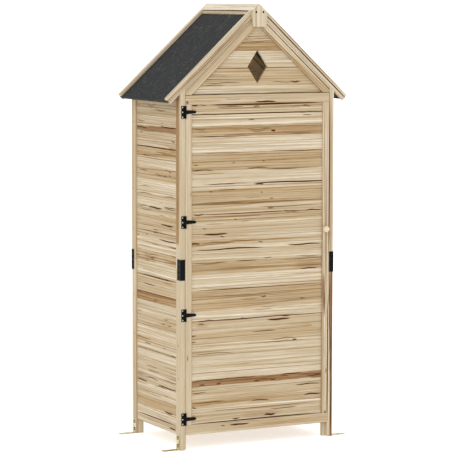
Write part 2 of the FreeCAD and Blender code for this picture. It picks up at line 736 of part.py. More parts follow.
# Knob and magnetic catch
knob_steps = (
    ("0", "0.68 * knob_radius"),
    ("knob_neck", "0.52 * knob_radius"),
    ("knob_neck + 0.5 * knob_radius", "knob_radius"),
    ("knob_neck + knob_radius", "knob_radius"),
    ("knob_neck + 1.45 * knob_radius", "0.55 * knob_radius"),
)
rings = []
for index in range(len(knob_steps) - 1):
    near, near_radius = knob_steps[index]
    far, far_radius = knob_steps[index + 1]
    centre = (knob_x, "%s - (%s)" % (FRONT, near), "knob_height")
    rings.append(cone("knob_ring_%d" % index, centre, near_radius, far_radius, "(%s) - (%s)" % (far, near)))
knob_hole_foot = (knob_x, "%s + 1" % FRONT, "knob_height")
knob_hole = rod("knob_hole", knob_hole_foot, "screw_radius + screw_play", knob_bite + " + 1.5")
knob_hole.Placement.Rotation = TOWARDS_FRONT
keep(less("knob", fused("knob_solid", rings), knob_hole))
shank = rod("knob_shank", (knob_x, batten_y, "knob_height"), "screw_radius", "door_thickness + " + knob_bite)
shank.Placement.Rotation = TOWARDS_FRONT
screw_head = cone("knob_screw_head", (knob_x, "%s + 1" % batten_y, "knob_height"), "1.4 * screw_radius",
                  "2.1 * screw_radius", "1")
keep(fused("knob_screw", [shank, screw_head]))
catch_x = "(body_width / 2 - post_width - 2 * corner_batten_width)"
catch_z = "catch_height - catch_length / 2"
catch_sizes = ("corner_batten_width", "batten_thickness", "catch_length")
keep(box("door_catch", (catch_x, cleat_y, catch_z), catch_sizes))
strike_sizes = ("corner_batten_width", "steel_thickness", "catch_length")
keep(box("strike_plate", (catch_x, batten_y, catch_z), strike_sizes))

doc.recompute()

for item in doc.Objects:
    if "Invalid" in item.State or "Error" in item.State:
        raise RuntimeError("%s did not build: %s" % (item.Label, item.State))
for node in nodes:
    if node.Shape.isNull() or not node.Shape.isValid() or not node.Shape.Solids:
        raise RuntimeError("%s has no sound shape" % node.Label)
for node in nodes:
    node.Shape.exportStep("parts/%s.step" % node.Label)
    print("%-26s solids %3d volume %10.1f" % (node.Label, len(node.Shape.Solids), node.Shape.Volume))
print("nodes", len(nodes))
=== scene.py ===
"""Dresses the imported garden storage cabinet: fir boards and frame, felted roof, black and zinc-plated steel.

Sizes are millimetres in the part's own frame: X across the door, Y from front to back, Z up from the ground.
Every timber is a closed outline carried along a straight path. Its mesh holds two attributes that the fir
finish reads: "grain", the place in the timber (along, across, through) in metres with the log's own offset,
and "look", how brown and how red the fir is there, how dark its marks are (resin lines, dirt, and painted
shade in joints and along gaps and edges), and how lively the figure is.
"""

import logging
import math
from dataclasses import dataclass, field
from enum import Enum
from typing import Callable

import bpy
import numpy as np
from mathutils import Matrix, Vector


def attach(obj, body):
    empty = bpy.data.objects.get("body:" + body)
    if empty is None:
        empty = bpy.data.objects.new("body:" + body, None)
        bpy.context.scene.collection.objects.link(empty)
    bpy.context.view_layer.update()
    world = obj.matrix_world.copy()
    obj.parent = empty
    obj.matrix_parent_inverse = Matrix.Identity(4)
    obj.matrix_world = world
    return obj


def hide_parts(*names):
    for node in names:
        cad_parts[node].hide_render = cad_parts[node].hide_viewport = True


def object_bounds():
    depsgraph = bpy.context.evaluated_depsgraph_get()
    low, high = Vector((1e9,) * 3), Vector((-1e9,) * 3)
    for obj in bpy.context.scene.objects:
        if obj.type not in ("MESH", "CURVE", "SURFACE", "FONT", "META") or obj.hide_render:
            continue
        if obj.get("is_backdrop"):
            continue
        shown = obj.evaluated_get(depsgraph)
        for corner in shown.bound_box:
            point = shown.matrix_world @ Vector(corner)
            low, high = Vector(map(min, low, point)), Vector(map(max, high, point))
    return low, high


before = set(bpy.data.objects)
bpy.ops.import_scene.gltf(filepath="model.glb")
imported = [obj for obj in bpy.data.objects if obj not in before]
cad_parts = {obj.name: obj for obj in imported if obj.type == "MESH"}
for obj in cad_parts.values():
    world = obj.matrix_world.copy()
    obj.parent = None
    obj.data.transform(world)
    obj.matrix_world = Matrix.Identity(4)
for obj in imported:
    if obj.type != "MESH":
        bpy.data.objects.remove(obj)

Array = np.ndarray
Pair = tuple[float, float]
Socket = bpy.types.NodeSocket
MM = 0.001
X, Y, Z = np.eye(3)
UP, ACROSS, DEEP = np.array([X, Y, Z]), np.array([Y, Z, X]), np.array([Z, X, Y])
log = logging.getLogger("cabinet")

# The roof's slope and the top of its ridge line
PITCH = math.radians(42.5)
SIN, COS, TAN = math.sin(PITCH), math.cos(PITCH), math.tan(PITCH)
APEX = 1790.0
RIDGE = (0.0, 0.0, APEX)

# Planes that several pieces share: the posts' inner faces, the front, and the timbers behind the boards
INNER = 330.0
FRONT = -230.0
TIES = ((-209.0, -191.0), (191.0, 209.0))

# Half the play between two boards, and how deep the marks and the strips' joints reach into one
PLAY = 0.15
SKIN = 3.0


def linear(hex_colour: str) -> tuple[float, float, float, float]:
    """Turns an sRGB colour to linear light: c / 12.92 up to 0.04045, else ((c + 0.055) / 1.055) ** 2.4.

    Args:
        hex_colour: "#rrggbb".

    Returns:
        Red, green and blue in linear light, and an alpha of 1.
    """
    parts = np.array([int(hex_colour[i : i + 2], 16) for i in (1, 3, 5)]) / 255.0
    light = np.where(parts <= 0.04045, parts / 12.92, ((parts + 0.055) / 1.055) ** 2.4)
    return (*light.tolist(), 1.0)


class Shade(Enum):
    """How far a strip of fir is from pale sapwood to brown heartwood, and how red it is."""

    W = (-0.8, 0.0)  # whitest sapwood
    C = (0.09, 0.0)  # cream
    P = (0.25, 0.0)  # pale
    S = (0.50, 0.0)  # straw
    T = (0.75, 0.0)  # tan
    B = (1.00, 0.0)  # brown
    D = (1.35, 0.1)  # darkest heartwood
    R = (0.95, 0.7)  # red-brown
    K = (0.09, 0.3)  # cream with a pink cast


Toning = Callable[[Array, Array, Array], tuple[Array, Array]]


def toned(part: Shade | Toning) -> Toning:
    """Spreads one shade over the whole timber, and leaves a toning as it is.

    Args:
        part: the shade or the toning.

    Returns:
        A function of (p, q, w) that gives brown and red there.
    """
    if not isinstance(part, Shade):
        return part
    brown, red = part.value
    return lambda p, q, w: (np.full(p.shape, brown), np.full(p.shape, red))


def parted(edge: float, below: Shade | Toning, above: Shade | Toning, axis: str = "p") -> Toning:
    """Two laminations glued together, each of its own shade or parted again.

    Args:
        edge: where they meet, mm.
        below: what lies below the edge.
        above: what lies above it.
        axis: "p", "q" or "w", the coordinate that the edge is on.

    Returns:
        A function of (p, q, w) that gives brown and red there.
    """
    low, high = toned(below), toned(above)

    def toning(p: Array, q: Array, w: Array) -> tuple[Array, Array]:
        """Brown and red on each side of the edge."""
        side = {"p": p, "q": q, "w": w}[axis] > edge
        return tuple(np.where(side, b, a) for a, b in zip(low(p, q, w), high(p, q, w)))

    return toning


def layered(layers: str) -> Toning:
    """Strips of timber one above another, whose joints wander a little on the outer face.

    A point belongs to the strip whose upper edge is the first above p + c. The wander c is 1.2 sin(w / 60)
    down to the skin's depth and 0 behind it.

    Args:
        layers: words such as S101, the shade and the strip's upper edge in mm, from the lowest up.

    Returns:
        A function of (p, q, w) that gives brown and red there.
    """
    words = layers.split()
    edges = np.array([float(word[1:]) for word in words[:-1]])
    looks = np.array([Shade[word[0]].value for word in words])

    def toning(p: Array, q: Array, w: Array) -> tuple[Array, Array]:
        """Brown and red of the strip that holds p."""
        found = looks[np.searchsorted(edges, p + np.where(q > -SKIN, 1.2 * np.sin(w / 60.0), 0.0))]
        return found[..., 0], found[..., 1]

    return toning


@dataclass(frozen=True)
class Streak:
    """A resin line, check, knot, red patch or painted shadow line in a timber's face, placed in mm along and
    across.
    """

    along: float
    across: float
    half: float
    thick: float = 1.6
    depth: float = 0.8
    wave: float = 1.2
    warm: float = 0.0

    def strength(self, u: Array, v: Array) -> Array:
        """How much of the mark shows there.

        With s = (u - along) / half and the line's own wander c = wave sin(4.1 s + along):
        max(0, 1 - s^4) * exp(-((v - across - c) / thick)^4), and the line thins towards its ends.

        Args:
            u: places along the timber, mm.
            v: places across it, mm.

        Returns:
            0, clear, to 1, full.
        """
        s = (u - self.along) / self.half
        wander = self.wave * np.sin(4.1 * s + self.along)
        thick = self.thick * (0.8 + 0.4 * np.clip(1 - s * s, 0, 1))
        return np.clip(1 - s**4, 0, 1) * np.exp(-(((v - self.across - wander) / thick) ** 4))


Streaks = tuple[Streak, ...]


def marks(*rows: tuple[float, ...]) -> Streaks:
    """Streaks from rows of numbers, in the order of the class's fields."""
    return tuple(Streak(*row) for row in rows)


@dataclass
class Piece:
    """Closed surfaces collected as arrays until they become one mesh object."""

    name: str
    points: list[Array] = field(default_factory=list)
    faces: list[list[int]] = field(default_factory=list)
    grain: list[Array] = field(default_factory=list)
    look: list[Array] = field(default_factory=list)

    def __post_init__(self) -> None:
        """Starts the piece's own run of log offsets."""
        self.rng = np.random.default_rng(sum(map(ord, self.name)))
        self.count = 0

    def add(self, points: Array, faces: list[list[int]], grain: Array, look: Array) -> None:
        """Adds one closed surface.

        Args:
            points: its points, (n, 3), mm.
            faces: its faces by index.
            grain: (n, 3) places in the timber, m.
            look: (n, 4) brown, red, dark, figure.
        """
        self.faces += [[i + self.count for i in f] for f in faces]
        self.points.append(points)
        self.grain.append(grain)
        self.look.append(look)
        self.count += len(points)

    def bar(
        self, section: Array, start: Array | float, stop: Array | float, axes: Array,
        toning: Shade | Toning = Shade.S, origin: tuple[float, float, float] = (0, 0, 0),
        streaks: Streaks = (), step: float = 14.0, ease: float = 1.0, face: str = "p", figure: float = 0.5,
        edge_dark: Array | None = None, ladder: bool = False, order: tuple[int, int, int] = (0, 1, 2),
        skin: float = math.inf,
    ) -> None:
        """Carries a closed section along a straight path between two end faces.

        P(i, t) = origin + p_i A_p + q_i A_q + ((1 - t) start_i + t stop_i) A_w. The first and last rings are
        drawn in by the ease, which rounds the arrises of both ends.

        Args:
            section: (n, 2) outline, counter-clockwise in (p, q), mm.
            start: where each point of the section starts along the path, mm, or one number for all.
            stop: where it stops.
            axes: the directions of p, q and w, one per row.
            toning: brown and red at (p, q, w), or one shade.
            origin: where p, q and w are nought.
            streaks: lines and knots, and painted shadow lines, in (w, p) or (w, q).
            step: the distance between rings, mm.
            ease: how far the end arrises are taken off.
            face: the coordinate that the streaks' "across" is on.
            figure: how lively the grain is.
            edge_dark: (rings, n) extra darkness, dirt and painted shade in a joint, for a bar without ease.
            ladder: the outline's second half runs back under its first at the same p, so that an end that
                isn't flat is closed by one quad for each pair of steps.
            order: which of (w, p, q) the grain runs along, across and through.
            skin: how far below q = 0 the marks still show.
        """
        n = len(section)
        start, stop = np.broadcast_to(start, n).astype(float), np.broadcast_to(stop, n).astype(float)
        rings = max(2, int(np.ceil(np.max(stop - start) / step)) + 1)
        t = np.linspace(0, 1, rings)[:, None]
        w = (1 - t) * start + t * stop
        p, q = (np.broadcast_to(c, w.shape).copy() for c in section.T)
        if ease > 0:
            middle = section.mean(0)
            reach = np.maximum(np.abs(section - middle).max(0), 1e-6)
            drawn = middle + (section - middle) * (1 - ease / reach)
            w = np.vstack([start, start + ease, w[1:-1], stop - ease, stop])
            p = np.vstack([drawn[:, 0], p, drawn[:, 0]])
            q = np.vstack([drawn[:, 1], q, drawn[:, 1]])
            rings += 2
        axes, places = np.asarray(axes, float), (p[..., None], q[..., None], w[..., None])
        points = np.asarray(origin, float) + places[0] * axes[0] + places[1] * axes[1] + places[2] * axes[2]
        a = np.arange((rings - 1) * n).reshape(rings - 1, n)
        b = np.roll(a, -1, axis=1)
        quads = np.stack([a, b, b + n, a + n], -1).reshape(-1, 4)
        ends = [list(range(n))[::-1], list(range((rings - 1) * n, rings * n))]
        if ladder:
            i = np.arange(n // 2 - 1)
            steps = np.stack([i, i + 1, n - 2 - i, n - 1 - i], -1)
            ends = steps[:, ::-1].tolist() + (steps + (rings - 1) * n).tolist()
        faces = quads.tolist() + ends
        if np.linalg.det(axes) < 0:
            faces = [f[::-1] for f in faces]
        grain = (np.stack([w, p, q], -1).reshape(-1, 3) * MM)[:, list(order)] + self.rng.uniform(-40, 40, 3)
        brown, red = toned(toning)(p, q, w)
        dark = np.zeros(w.shape)
        for streak in streaks:
            shown = streak.strength(w, p if face == "p" else q) * (q > -skin)
            dark = np.maximum(dark, streak.depth * shown)
            red = np.maximum(red, streak.warm * shown)
        if edge_dark is not None:
            dark = np.maximum(dark, edge_dark * (q > -skin))
        look = np.stack([brown, red, dark, np.full(w.shape, figure)], -1).reshape(-1, 4)
        self.add(points.reshape(-1, 3), faces, grain, look)

    def turned(self, profile: Array, centre: Array, axis: Array, sides: int = 18) -> None:
        """Turns a profile about an axis: P(i, a) = centre + h_i N + r_i (cos a U + sin a V), with flat ends.

        Args:
            profile: (n, 2) rows of height and radius, the foot first, mm.
            centre: where the height is nought.
            axis: the direction N that the heights rise in.
            sides: points in each ring.
        """
        u = np.cross(axis, X if abs(axis[0]) < 0.9 else Y)
        v = np.cross(axis, u)
        a = np.linspace(0, 2 * np.pi, sides, endpoint=False)[:, None]
        points = np.vstack([centre + h * axis + r * (np.cos(a) * u + np.sin(a) * v) for h, r in profile])
        last = len(points) - sides
        i = np.arange(last).reshape(-1, sides)
        j = np.roll(i, -1, axis=1)
        faces = np.stack([i, j, j + sides, i + sides], -1).reshape(-1, 4).tolist()
        faces += [list(range(sides))[::-1], list(range(last, last + sides))]
        self.add(points, faces, points * MM, np.zeros((len(points), 4)))

    def build(
        self, body: str, finish: "Finish", slot: str, replaces: tuple[str, ...] = (),
        smooth: float | None = None,
    ) -> None:
        """Makes the mesh object and hands it to the frame.

        Args:
            body: the CAD body that it rides on.
            finish: its material.
            slot: the record's material slot; not used.
            replaces: the CAD nodes that it stands for.
            smooth: the angle in degrees below which faces are shaded as one surface, or None for flat faces.
        """
        mesh = bpy.data.meshes.new(f"{self.name}_timber")
        mesh.from_pydata(np.vstack(self.points) * MM, [], self.faces)
        for name, kind, field_name, rows in (
            ("grain", "FLOAT_VECTOR", "vector", self.grain),
            ("look", "FLOAT_COLOR", "color", self.look),
        ):
            layer = mesh.attributes.new(name, kind, "POINT")
            layer.data.foreach_set(field_name, np.vstack(rows).astype(np.float32).ravel())
        mesh.materials.append(finish.material())
        if smooth is not None:
            mesh.shade_smooth()
            mesh.set_sharp_from_angle(angle=math.radians(smooth))
        mesh.update()
        made = bpy.data.objects.new(f"{self.name}_dressed", mesh)
        bpy.context.scene.collection.objects.link(made)
        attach(made, body)
        if replaces:
            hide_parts(*replaces)
        log.info("%s: %d faces on %s", self.name, len(mesh.polygons), body)

    def fir(self, slot: str = "fir_frame", body: str = "cabinet", smooth: float | None = 30) -> None:
        """Makes the piece in planed fir, in the place of the CAD node of its own name."""
        self.build(body, FIR, slot, (self.name,), smooth)


def eased(low: Pair, high: Pair, radius: float = 1.5, gap: float = 4.0) -> Array:
    """A rectangle with rounded corners, and points every few millimetres on its sides.

    Each corner is c + radius (cos a, sin a) for a over a quarter turn.

    Args:
        low: the lower corner (p, q), mm.
        high: the upper corner.
        radius: how far the arrises are rounded.
        gap: the distance between points on the sides.

    Returns:
        (n, 2) outline, counter-clockwise.
    """
    left, bottom, right, top = low[0] + radius, low[1] + radius, high[0] - radius, high[1] - radius
    rows = []
    for cp, cq, turn in ((right, bottom, -90), (right, top, 0), (left, top, 90), (left, bottom, 180)):
        a = np.radians(turn + np.linspace(0, 90, 4))
        rows.append(np.stack([cp + radius * np.cos(a), cq + radius * np.sin(a)], -1))
    return filled(np.vstack(rows), gap)


def filled(corners: Array, gap: float) -> Array:
    """Puts points on the sides of a closed outline so that none is longer than the gap.

    Side k from A to B becomes A + (B - A) j / m for j = 0 .. m - 1, with m = ceil(|B - A| / gap).

    Args:
        corners: (n, 2) outline.
        gap: the longest side left, mm.

    Returns:
        (m, 2) outline.
    """
    rows = []
    for a, b in zip(corners, np.roll(corners, -1, axis=0)):
        m = max(1, int(np.ceil(np.linalg.norm(b - a) / gap)))
        rows.append(a + (b - a) * (np.arange(m) / m)[:, None])
    return np.vstack(rows)


def board_face(low: float, high: float, ease: float = 1.3, groove: float = 1.5, gap: float = 1.4) -> Array:
    """The face of a board with eased arrises and a V down its middle, from the top down.

    It lies at q = -max(0, ease - |p - low|, ease - |high - p|, groove - |p - middle|).

    Args:
        low: the board's lower edge, mm.
        high: its upper edge.
        ease: how far the arrises are taken off.
        groove: the depth of the V.
        gap: the distance between points across the face.

    Returns:
        (n, 2) line in (height, out).
    """
    middle = (low + high) / 2
    sharp = [low, low + ease, middle - groove, middle, middle + groove, high - ease, high]
    p = np.unique(np.round(np.concatenate([sharp, np.arange(low + 4, high - 3, gap)]), 3))
    worn = [ease - np.abs(p - low), ease - np.abs(high - p), groove - np.abs(p - middle)]
    return np.stack([p, -np.maximum.reduce([np.zeros(len(p)), *worn])], -1)[::-1]


def board_section(low: float, high: float, thick: float = 11.0) -> Array:
    """The outline of a tongued and grooved board: a tongue 3 long and 3 thick, and a housing with its play.

    Args:
        low: the board's lower edge, mm.
        high: its upper edge.
        thick: its thickness.

    Returns:
        (n, 2) outline in (height, out), counter-clockwise.
    """
    tongue = [(high, -thick), (high, -7.2), (high + 3, -7.0), (high + 3, -4.0), (high, -3.8)]
    housing = [(low, -3.6), (low + 3.3, -3.6), (low + 3.3, -7.4), (low, -7.4), (low, -thick)]
    return np.vstack([tongue, board_face(low, high), housing])


@dataclass
class Cladding:
    """A wall of horizontal boards, tongued and grooved, in strips of their own shades.

    The rows are the lowest edge, the highest and how many boards there are. A mark is drawn on each board
    that it lies on or comes nearer to than the touch, in mm.
    """

    name: str
    rows: tuple[float, float, int]
    span: Pair
    out: Array
    along: Array
    face: float
    shades: str = ""
    layers: str = ""
    streaks: Streaks = ()
    scatter: float = 1.0
    body: str = "cabinet"
    step: float = 8.0
    touch: float = 30.0
    # How dark the board edges get: dirt and painted shade in the joints
    edge_dirt_and_shade: float = 0.28
    figure: Pair = (0.25, 0.65)

    def build(self) -> None:
        """Makes the boards, each in two strips of the shades, or in the layers, which run past the boards."""
        piece = Piece(self.name)
        rng = piece.rng
        bottom, top, count = self.rows
        height = (top - bottom) / count
        rings = max(2, int(np.ceil((self.span[1] - self.span[0]) / self.step)) + 1)
        w = np.linspace(*self.span, rings)[:, None]
        for k in range(count):
            low = bottom + k * height + PLAY
            high = low + height - 2 * PLAY
            middle = (low + high) / 2
            section = board_section(low, high)
            near, far = low - self.touch, high + self.touch
            streaks = tuple(mark for mark in self.streaks if near < mark.across < far)
            streaks += self.scattered(rng, low, high)
            if self.layers:
                toning, inner = layered(self.layers), 0.12
            else:
                pair = (Shade[letter] for letter in self.shades[2 * k : 2 * k + 2])
                toning, inner = parted(middle, *pair), 0.3
            # Dirt and painted shade along the joints: at both edges of the board and down the V in its middle
            joint = 0.0
            for edge, most, wide in ((low, self.edge_dirt_and_shade, 1.1), (high, self.edge_dirt_and_shade, 1.1), (middle, inner, 1.0)):
                near_edge = np.exp(-(((section[:, 0] - edge) / wide) ** 2))
                joint = np.maximum(joint, self.worn(rng, w, most) * near_edge)
            axes, origin = np.array([Z, self.out, self.along]), self.out * self.face
            figure = rng.uniform(*self.figure)
            piece.bar(
                section, *self.span, axes, toning, origin, streaks, self.step, 0.0, figure=figure,
                edge_dark=joint, skin=SKIN,
            )
        piece.fir("fir_boards", self.body, None)

    def scattered(self, rng: np.random.Generator, low: float, high: float) -> Streaks:
        """A few short resin lines at places of the log's own choosing.

        Args:
            rng: the piece's own run of numbers.
            low: the board's lower edge, mm.
            high: its upper edge.

        Returns:
            The lines.
        """
        fields = (self.span, (low + 3, high - 3), (14, 75), (0.9, 1.8), (0.25, 0.75), (0, 1.6))
        count = rng.poisson(1.6 * self.scatter)
        return tuple(Streak(*(rng.uniform(*ends) for ends in fields)) for _ in range(count))

    @staticmethod
    def worn(rng: np.random.Generator, w: Array, most: float) -> Array:
        """How dark a joint's dirt and painted shade are along it: a slow wave of its own, cut off below
        nought.

        most * clip(level + 0.3 sin(w / a + b) + 0.2 sin(w / c + d), 0, 1).

        Args:
            rng: the piece's own run of numbers.
            w: places along the joint, mm.
            most: the darkest it gets.

        Returns:
            The darkness at each place.
        """
        a, c = rng.uniform(90, 220), rng.uniform(25, 60)
        b, d = rng.uniform(0, 6.3, 2)
        return most * np.clip(rng.uniform(0.2, 0.9) + 0.3 * np.sin(w / a + b) + 0.2 * np.sin(w / c + d), 0, 1)


@dataclass(frozen=True)
class Coat:
    """A material's tree and its principled shader, and the few nodes that the finishes are made of."""

    tree: bpy.types.NodeTree
    shader: bpy.types.Node

    def feed(self, made: bpy.types.Node, links: dict) -> None:
        """Sets a node's inputs.

        Args:
            made: the node.
            links: socket name or index to a value, or to the output socket that feeds it.
        """
        for key, value in links.items():
            if isinstance(value, Socket):
                self.tree.links.new(value, made.inputs[key])
            else:
                made.inputs[key].default_value = value

    def node(self, kind: str, links: dict | None = None, **settings: object) -> bpy.types.Node:
        """Adds one node.

        Args:
            kind: its type, such as TexNoise.
            links: what its inputs get.
            settings: its own properties.

        Returns:
            The node.
        """
        made = self.tree.nodes.new(f"ShaderNode{kind}")
        for key, value in settings.items():
            setattr(made, key, value)
        self.feed(made, links or {})
        return made

    def maths(self, kind: str, a: object, b: object, c: object = 0.0, clamp: bool = False) -> Socket:
        """One sum on two or three values."""
        return self.node("Math", {0: a, 1: b, 2: c}, operation=kind, use_clamp=clamp).outputs[0]

    def swung(self, by: Socket, middle: float, share: object, base: object) -> Socket:
        """A value swung by a noise about its middle: (noise - middle) share + base."""
        return self.maths("MULTIPLY_ADD", self.maths("SUBTRACT", by, middle), share, base)

    def mixed(self, share: Socket, under: Socket, over: str) -> Socket:
        """A colour laid over another by a share."""
        return self.node("Mix", {0: share, 6: under, 7: linear(over)}, data_type="RGBA").outputs[2]

    def noise(
        self, place: Socket, scale: float, detail: float, rough: float = 0.5, warp: float = 0.0
    ) -> Socket:
        """A noise's value at a place."""
        values = {"Vector": place, "Scale": scale, "Detail": detail, "Roughness": rough, "Distortion": warp}
        return self.node("TexNoise", values).outputs["Fac"]

    def stretched(self, grain: Socket, along: float, across: float, detail: float, warp: float) -> Socket:
        """A noise stretched along the grain, its scales in turns per metre."""
        place = self.node("Mapping", {"Vector": grain, "Scale": (along, across, across)}).outputs["Vector"]
        return self.noise(place, 1.0, detail, 0.55, warp)

    def ramp(self, factor: Socket, *stops: tuple[float, str]) -> Socket:
        """Turns a value into a colour between stops.

        Args:
            factor: the value.
            stops: (place, "#rrggbb") in rising order.

        Returns:
            The colour.
        """
        made = self.node("ValToRGB", {"Fac": factor})
        band = made.color_ramp
        for k, (place, colour) in enumerate(stops):
            stop = band.elements[k] if k < 2 else band.elements.new(place)
            stop.position, stop.color = place, linear(colour)
        return made.outputs["Color"]

    def dress(
        self, colour: Socket, rough: Socket | float, height: Socket, bump: Pair, **others: float
    ) -> None:
        """Feeds the shader.

        Args:
            colour: its colour.
            rough: its roughness.
            height: what rises and falls on the surface.
            bump: the strength of the bump, and its distance in metres.
            others: plain values of its other inputs, their names' spaces as underscores.
        """
        values = {"Height": height, "Strength": bump[0], "Distance": bump[1]}
        normal = self.node("Bump", values).outputs["Normal"]
        plain = {name.replace("_", " "): value for name, value in others.items()}
        self.feed(self.shader, {"Base Color": colour, "Roughness": rough, "Normal": normal} | plain)


@dataclass(frozen=True)
class Finish:
    """A surface finish with its own material, made once."""

    label: str

    def material(self) -> bpy.types.Material:
        """The finish's material, made the first time that it is asked for.

        Returns:
            The material.
        """
        made = bpy.data.materials.get(self.label)
        if made is None:
            made = bpy.data.materials.new(self.label)
            made.use_nodes = True
            self.paint(Coat(made.node_tree, made.node_tree.nodes["Principled BSDF"]))
        return made

    def paint(self, coat: Coat) -> None:
        """Puts the finish's nodes into the material's tree."""
        raise NotImplementedError


@dataclass(frozen=True)
class PlanedFir(Finish):
    """Planed fir, unpainted: pale sapwood to brown heartwood, rings as long lines, a dry matt face.

    The noises' scales are in turns per metre across the grain.
    """

    rings: float = 26.0
    bands: float = 28.0
    sap: float = 170.0
    stripes: float = 210.0
    fibres: float = 480.0
    rough: float = 0.54
    shine: float = 0.1

    def paint(self, coat: Coat) -> None:
        """Growth rings, bands, fibre, resin lines and painted shade lines over the shade that the mesh
        carries.

        The rings are contours of a noise stretched along the grain: fract(5 noise) rises from early to late
        wood and drops at the ring's edge, and its fourth power is the thin dark line of the late wood.

        Args:
            coat: the material's tree and shader.
        """
        maths, swung, mixed = coat.maths, coat.swung, coat.mixed
        grain = coat.node("Attribute", attribute_name="grain").outputs["Vector"]
        look = coat.node("Attribute", attribute_name="look")
        split = coat.node("SeparateColor", {"Color": look.outputs["Color"]})
        brown, red, dark = (split.outputs[name] for name in ("Red", "Green", "Blue"))
        figure = look.outputs["Alpha"]
        contour, band, stripe, fine, sap = (
            coat.stretched(grain, *shape)
            for shape in (
                (0.4, self.rings, 1.0, 0.1),
                (0.9, self.bands, 2.0, 0.4),
                (2.2, self.stripes, 2.0, 0.15),
                (18.0, self.fibres, 2.0, 0.0),
                (1.2, self.sap, 1.0, 0.2),
            )
        )
        late = maths("POWER", maths("FRACT", maths("MULTIPLY", contour, 5.0), 0.0), 4.0)
        swing = swung(band, 0.5, 0.35, brown)
        swing = swung(stripe, 0.5, maths("MULTIPLY_ADD", figure, 2.0, 1.3), swing)
        swing = swung(late, 0.2, maths("MULTIPLY", figure, 1.5), swing)
        swing = swung(fine, 0.5, 0.9, swing)
        place = maths("MULTIPLY_ADD", swing, 0.5, 0.25, clamp=True)
        stops = ((0.0, "#DDD1BC"), (0.25, "#C1B299"), (0.5, "#B3A081"), (0.75, "#A98F69"), (1.0, "#86643A"))
        blushing = maths("MULTIPLY", red, maths("MULTIPLY_ADD", band, 0.9, 0.35, clamp=True))
        colour = mixed(blushing, coat.ramp(place, *stops), "#825A3D")
        line = maths("MULTIPLY_ADD", sap, 14.0, -8.3, clamp=True)
        colour = mixed(maths("MULTIPLY", line, maths("MULTIPLY", figure, 0.65)), colour, "#73542C")
        # The dark channel carries resin lines, dirt in the joints, and painted shade in joints and along gaps
        # and edges
        dark_marks_and_shade = maths("MULTIPLY", dark, maths("MULTIPLY_ADD", fine, 1.2, 0.75), clamp=True)
        colour = mixed(maths("MULTIPLY", dark_marks_and_shade, 1.3, clamp=True), colour, "#6A3F0E")
        colour = mixed(maths("POWER", dark_marks_and_shade, 2.0), colour, "#361B00")
        height = maths("MULTIPLY_ADD", stripe, 0.6, maths("MULTIPLY", fine, 0.4))
        height = maths("MULTIPLY_ADD", late, -0.4, height)
        rough = maths("MULTIPLY_ADD", fine, 0.16, self.rough)
        coat.dress(colour, rough, height, (0.35, 0.0006), Specular_IOR_Level=self.shine)


@dataclass(frozen=True)
class MineralFelt(Finish):
    """Bitumen roofing felt faced with crushed slate: near-black, rough, sparkling with paler granules.

    The granules are drawn about twice as coarse as real ones, so that they still show from a few metres off.
    """

    grit: float = 2.6

    def paint(self, coat: Coat) -> None:
        """Granules over a slow change of tone.

        Args:
            coat: the material's tree and shader.
        """
        place = coat.node("TexCoord").outputs["Object"]
        grit = coat.noise(place, 1000.0 / self.grit / 2, 2.0, 0.7)
        tone = coat.maths("MULTIPLY_ADD", coat.noise(place, 30.0, 3.0, warp=1.5), 0.5, grit)
        stops = ((0.55, "#0C0C0D"), (0.75, "#171819"), (0.9, "#262727"), (1.0, "#6A6A68"))
        coat.dress(coat.ramp(tone, *stops), 0.9, grit, (0.6, 0.001))


@dataclass(frozen=True)
class Mottled(Finish):
    """A moulded, turned or brushed surface: a faint mottle of two near tones, in cells of one size in mm."""

    dark: str
    light: str
    rough: float
    size: float
    metallic: float = 0.0
    shine: float = 0.5
    detail: float = 4.0
    edge: float = 0.3
    bump: Pair = (0.1, 0.0004)

    def paint(self, coat: Coat) -> None:
        """A soft mottle of the two tones, and a shallow bump of the same size.

        Args:
            coat: the material's tree and shader.
        """
        place = coat.node("TexCoord").outputs["Object"]
        mottle = coat.noise(place, 1000.0 / self.size / 2, self.detail)
        colour = coat.ramp(mottle, (self.edge, self.dark), (1.0 - self.edge, self.light))
        rough = coat.maths("MULTIPLY_ADD", mottle, 0.2, self.rough - 0.1)
        values = {"Metallic": self.metallic, "Specular_IOR_Level": self.shine}
        coat.dress(colour, rough, mottle, self.bump, **values)


@dataclass(frozen=True)
class Steel(Mottled):
    """Sheet steel, powder-coated or zinc-plated, with faint orange peel or spangle."""

    metallic: float = 1.0
    detail: float = 3.0
    edge: float = 0.35
    bump: Pair = (0.15, 0.0003)


# Fir strips glued edge to edge and planed: every strip keeps its own tone, and the knives leave a dry matt
# face on which the late wood stands as thin brown lines. The rings are about twice as coarse as real ones.
FIR = PlanedFir("planed_fir")
# Bitumen sheet with crushed slate rolled into it hot: rough, near-black, and paler grains break the light.
FELT = MineralFelt("mineral_roofing_felt")
# Pressed sheet steel, powder-coated and baked: an even black, with a melted powder's low gloss and ripple.
BLACK_STEEL = Steel("powder_coated_steel", "#040405", "#0A0A0C", 0.5, 1.2, metallic=0.0, shine=0.1)
# Steel zinc-plated in a bath and passivated: bright, slightly cloudy, with soft reflections.
ZINC = Steel("bright_zinc_plated_steel", "#A9AAA8", "#D2D2CE", 0.35, 6.0)
# The same steel with a yellow passivation: the bath leaves a straw-coloured film, thinner on the edges.
YELLOW_ZINC = Steel("yellow_passivated_steel", "#B3A57C", "#E3D8B4", 0.4, 9.0)
# Nylon injected into a steel mould: an even, faintly glossy off-white.
NYLON = Mottled("moulded_nylon", "#D9D6CC", "#E6E3DA", 0.45, 8.0)
# Plywood of the roof deck, near-black all over: a painted shade for the dark underside of the roof under the
# eaves and behind the vent. Dull and a little uneven.
EAVE_SHADE_PLY = Mottled("near_black_plywood_eave_shade", "#1D1B1A", "#2B2826", 0.85, 5.0)
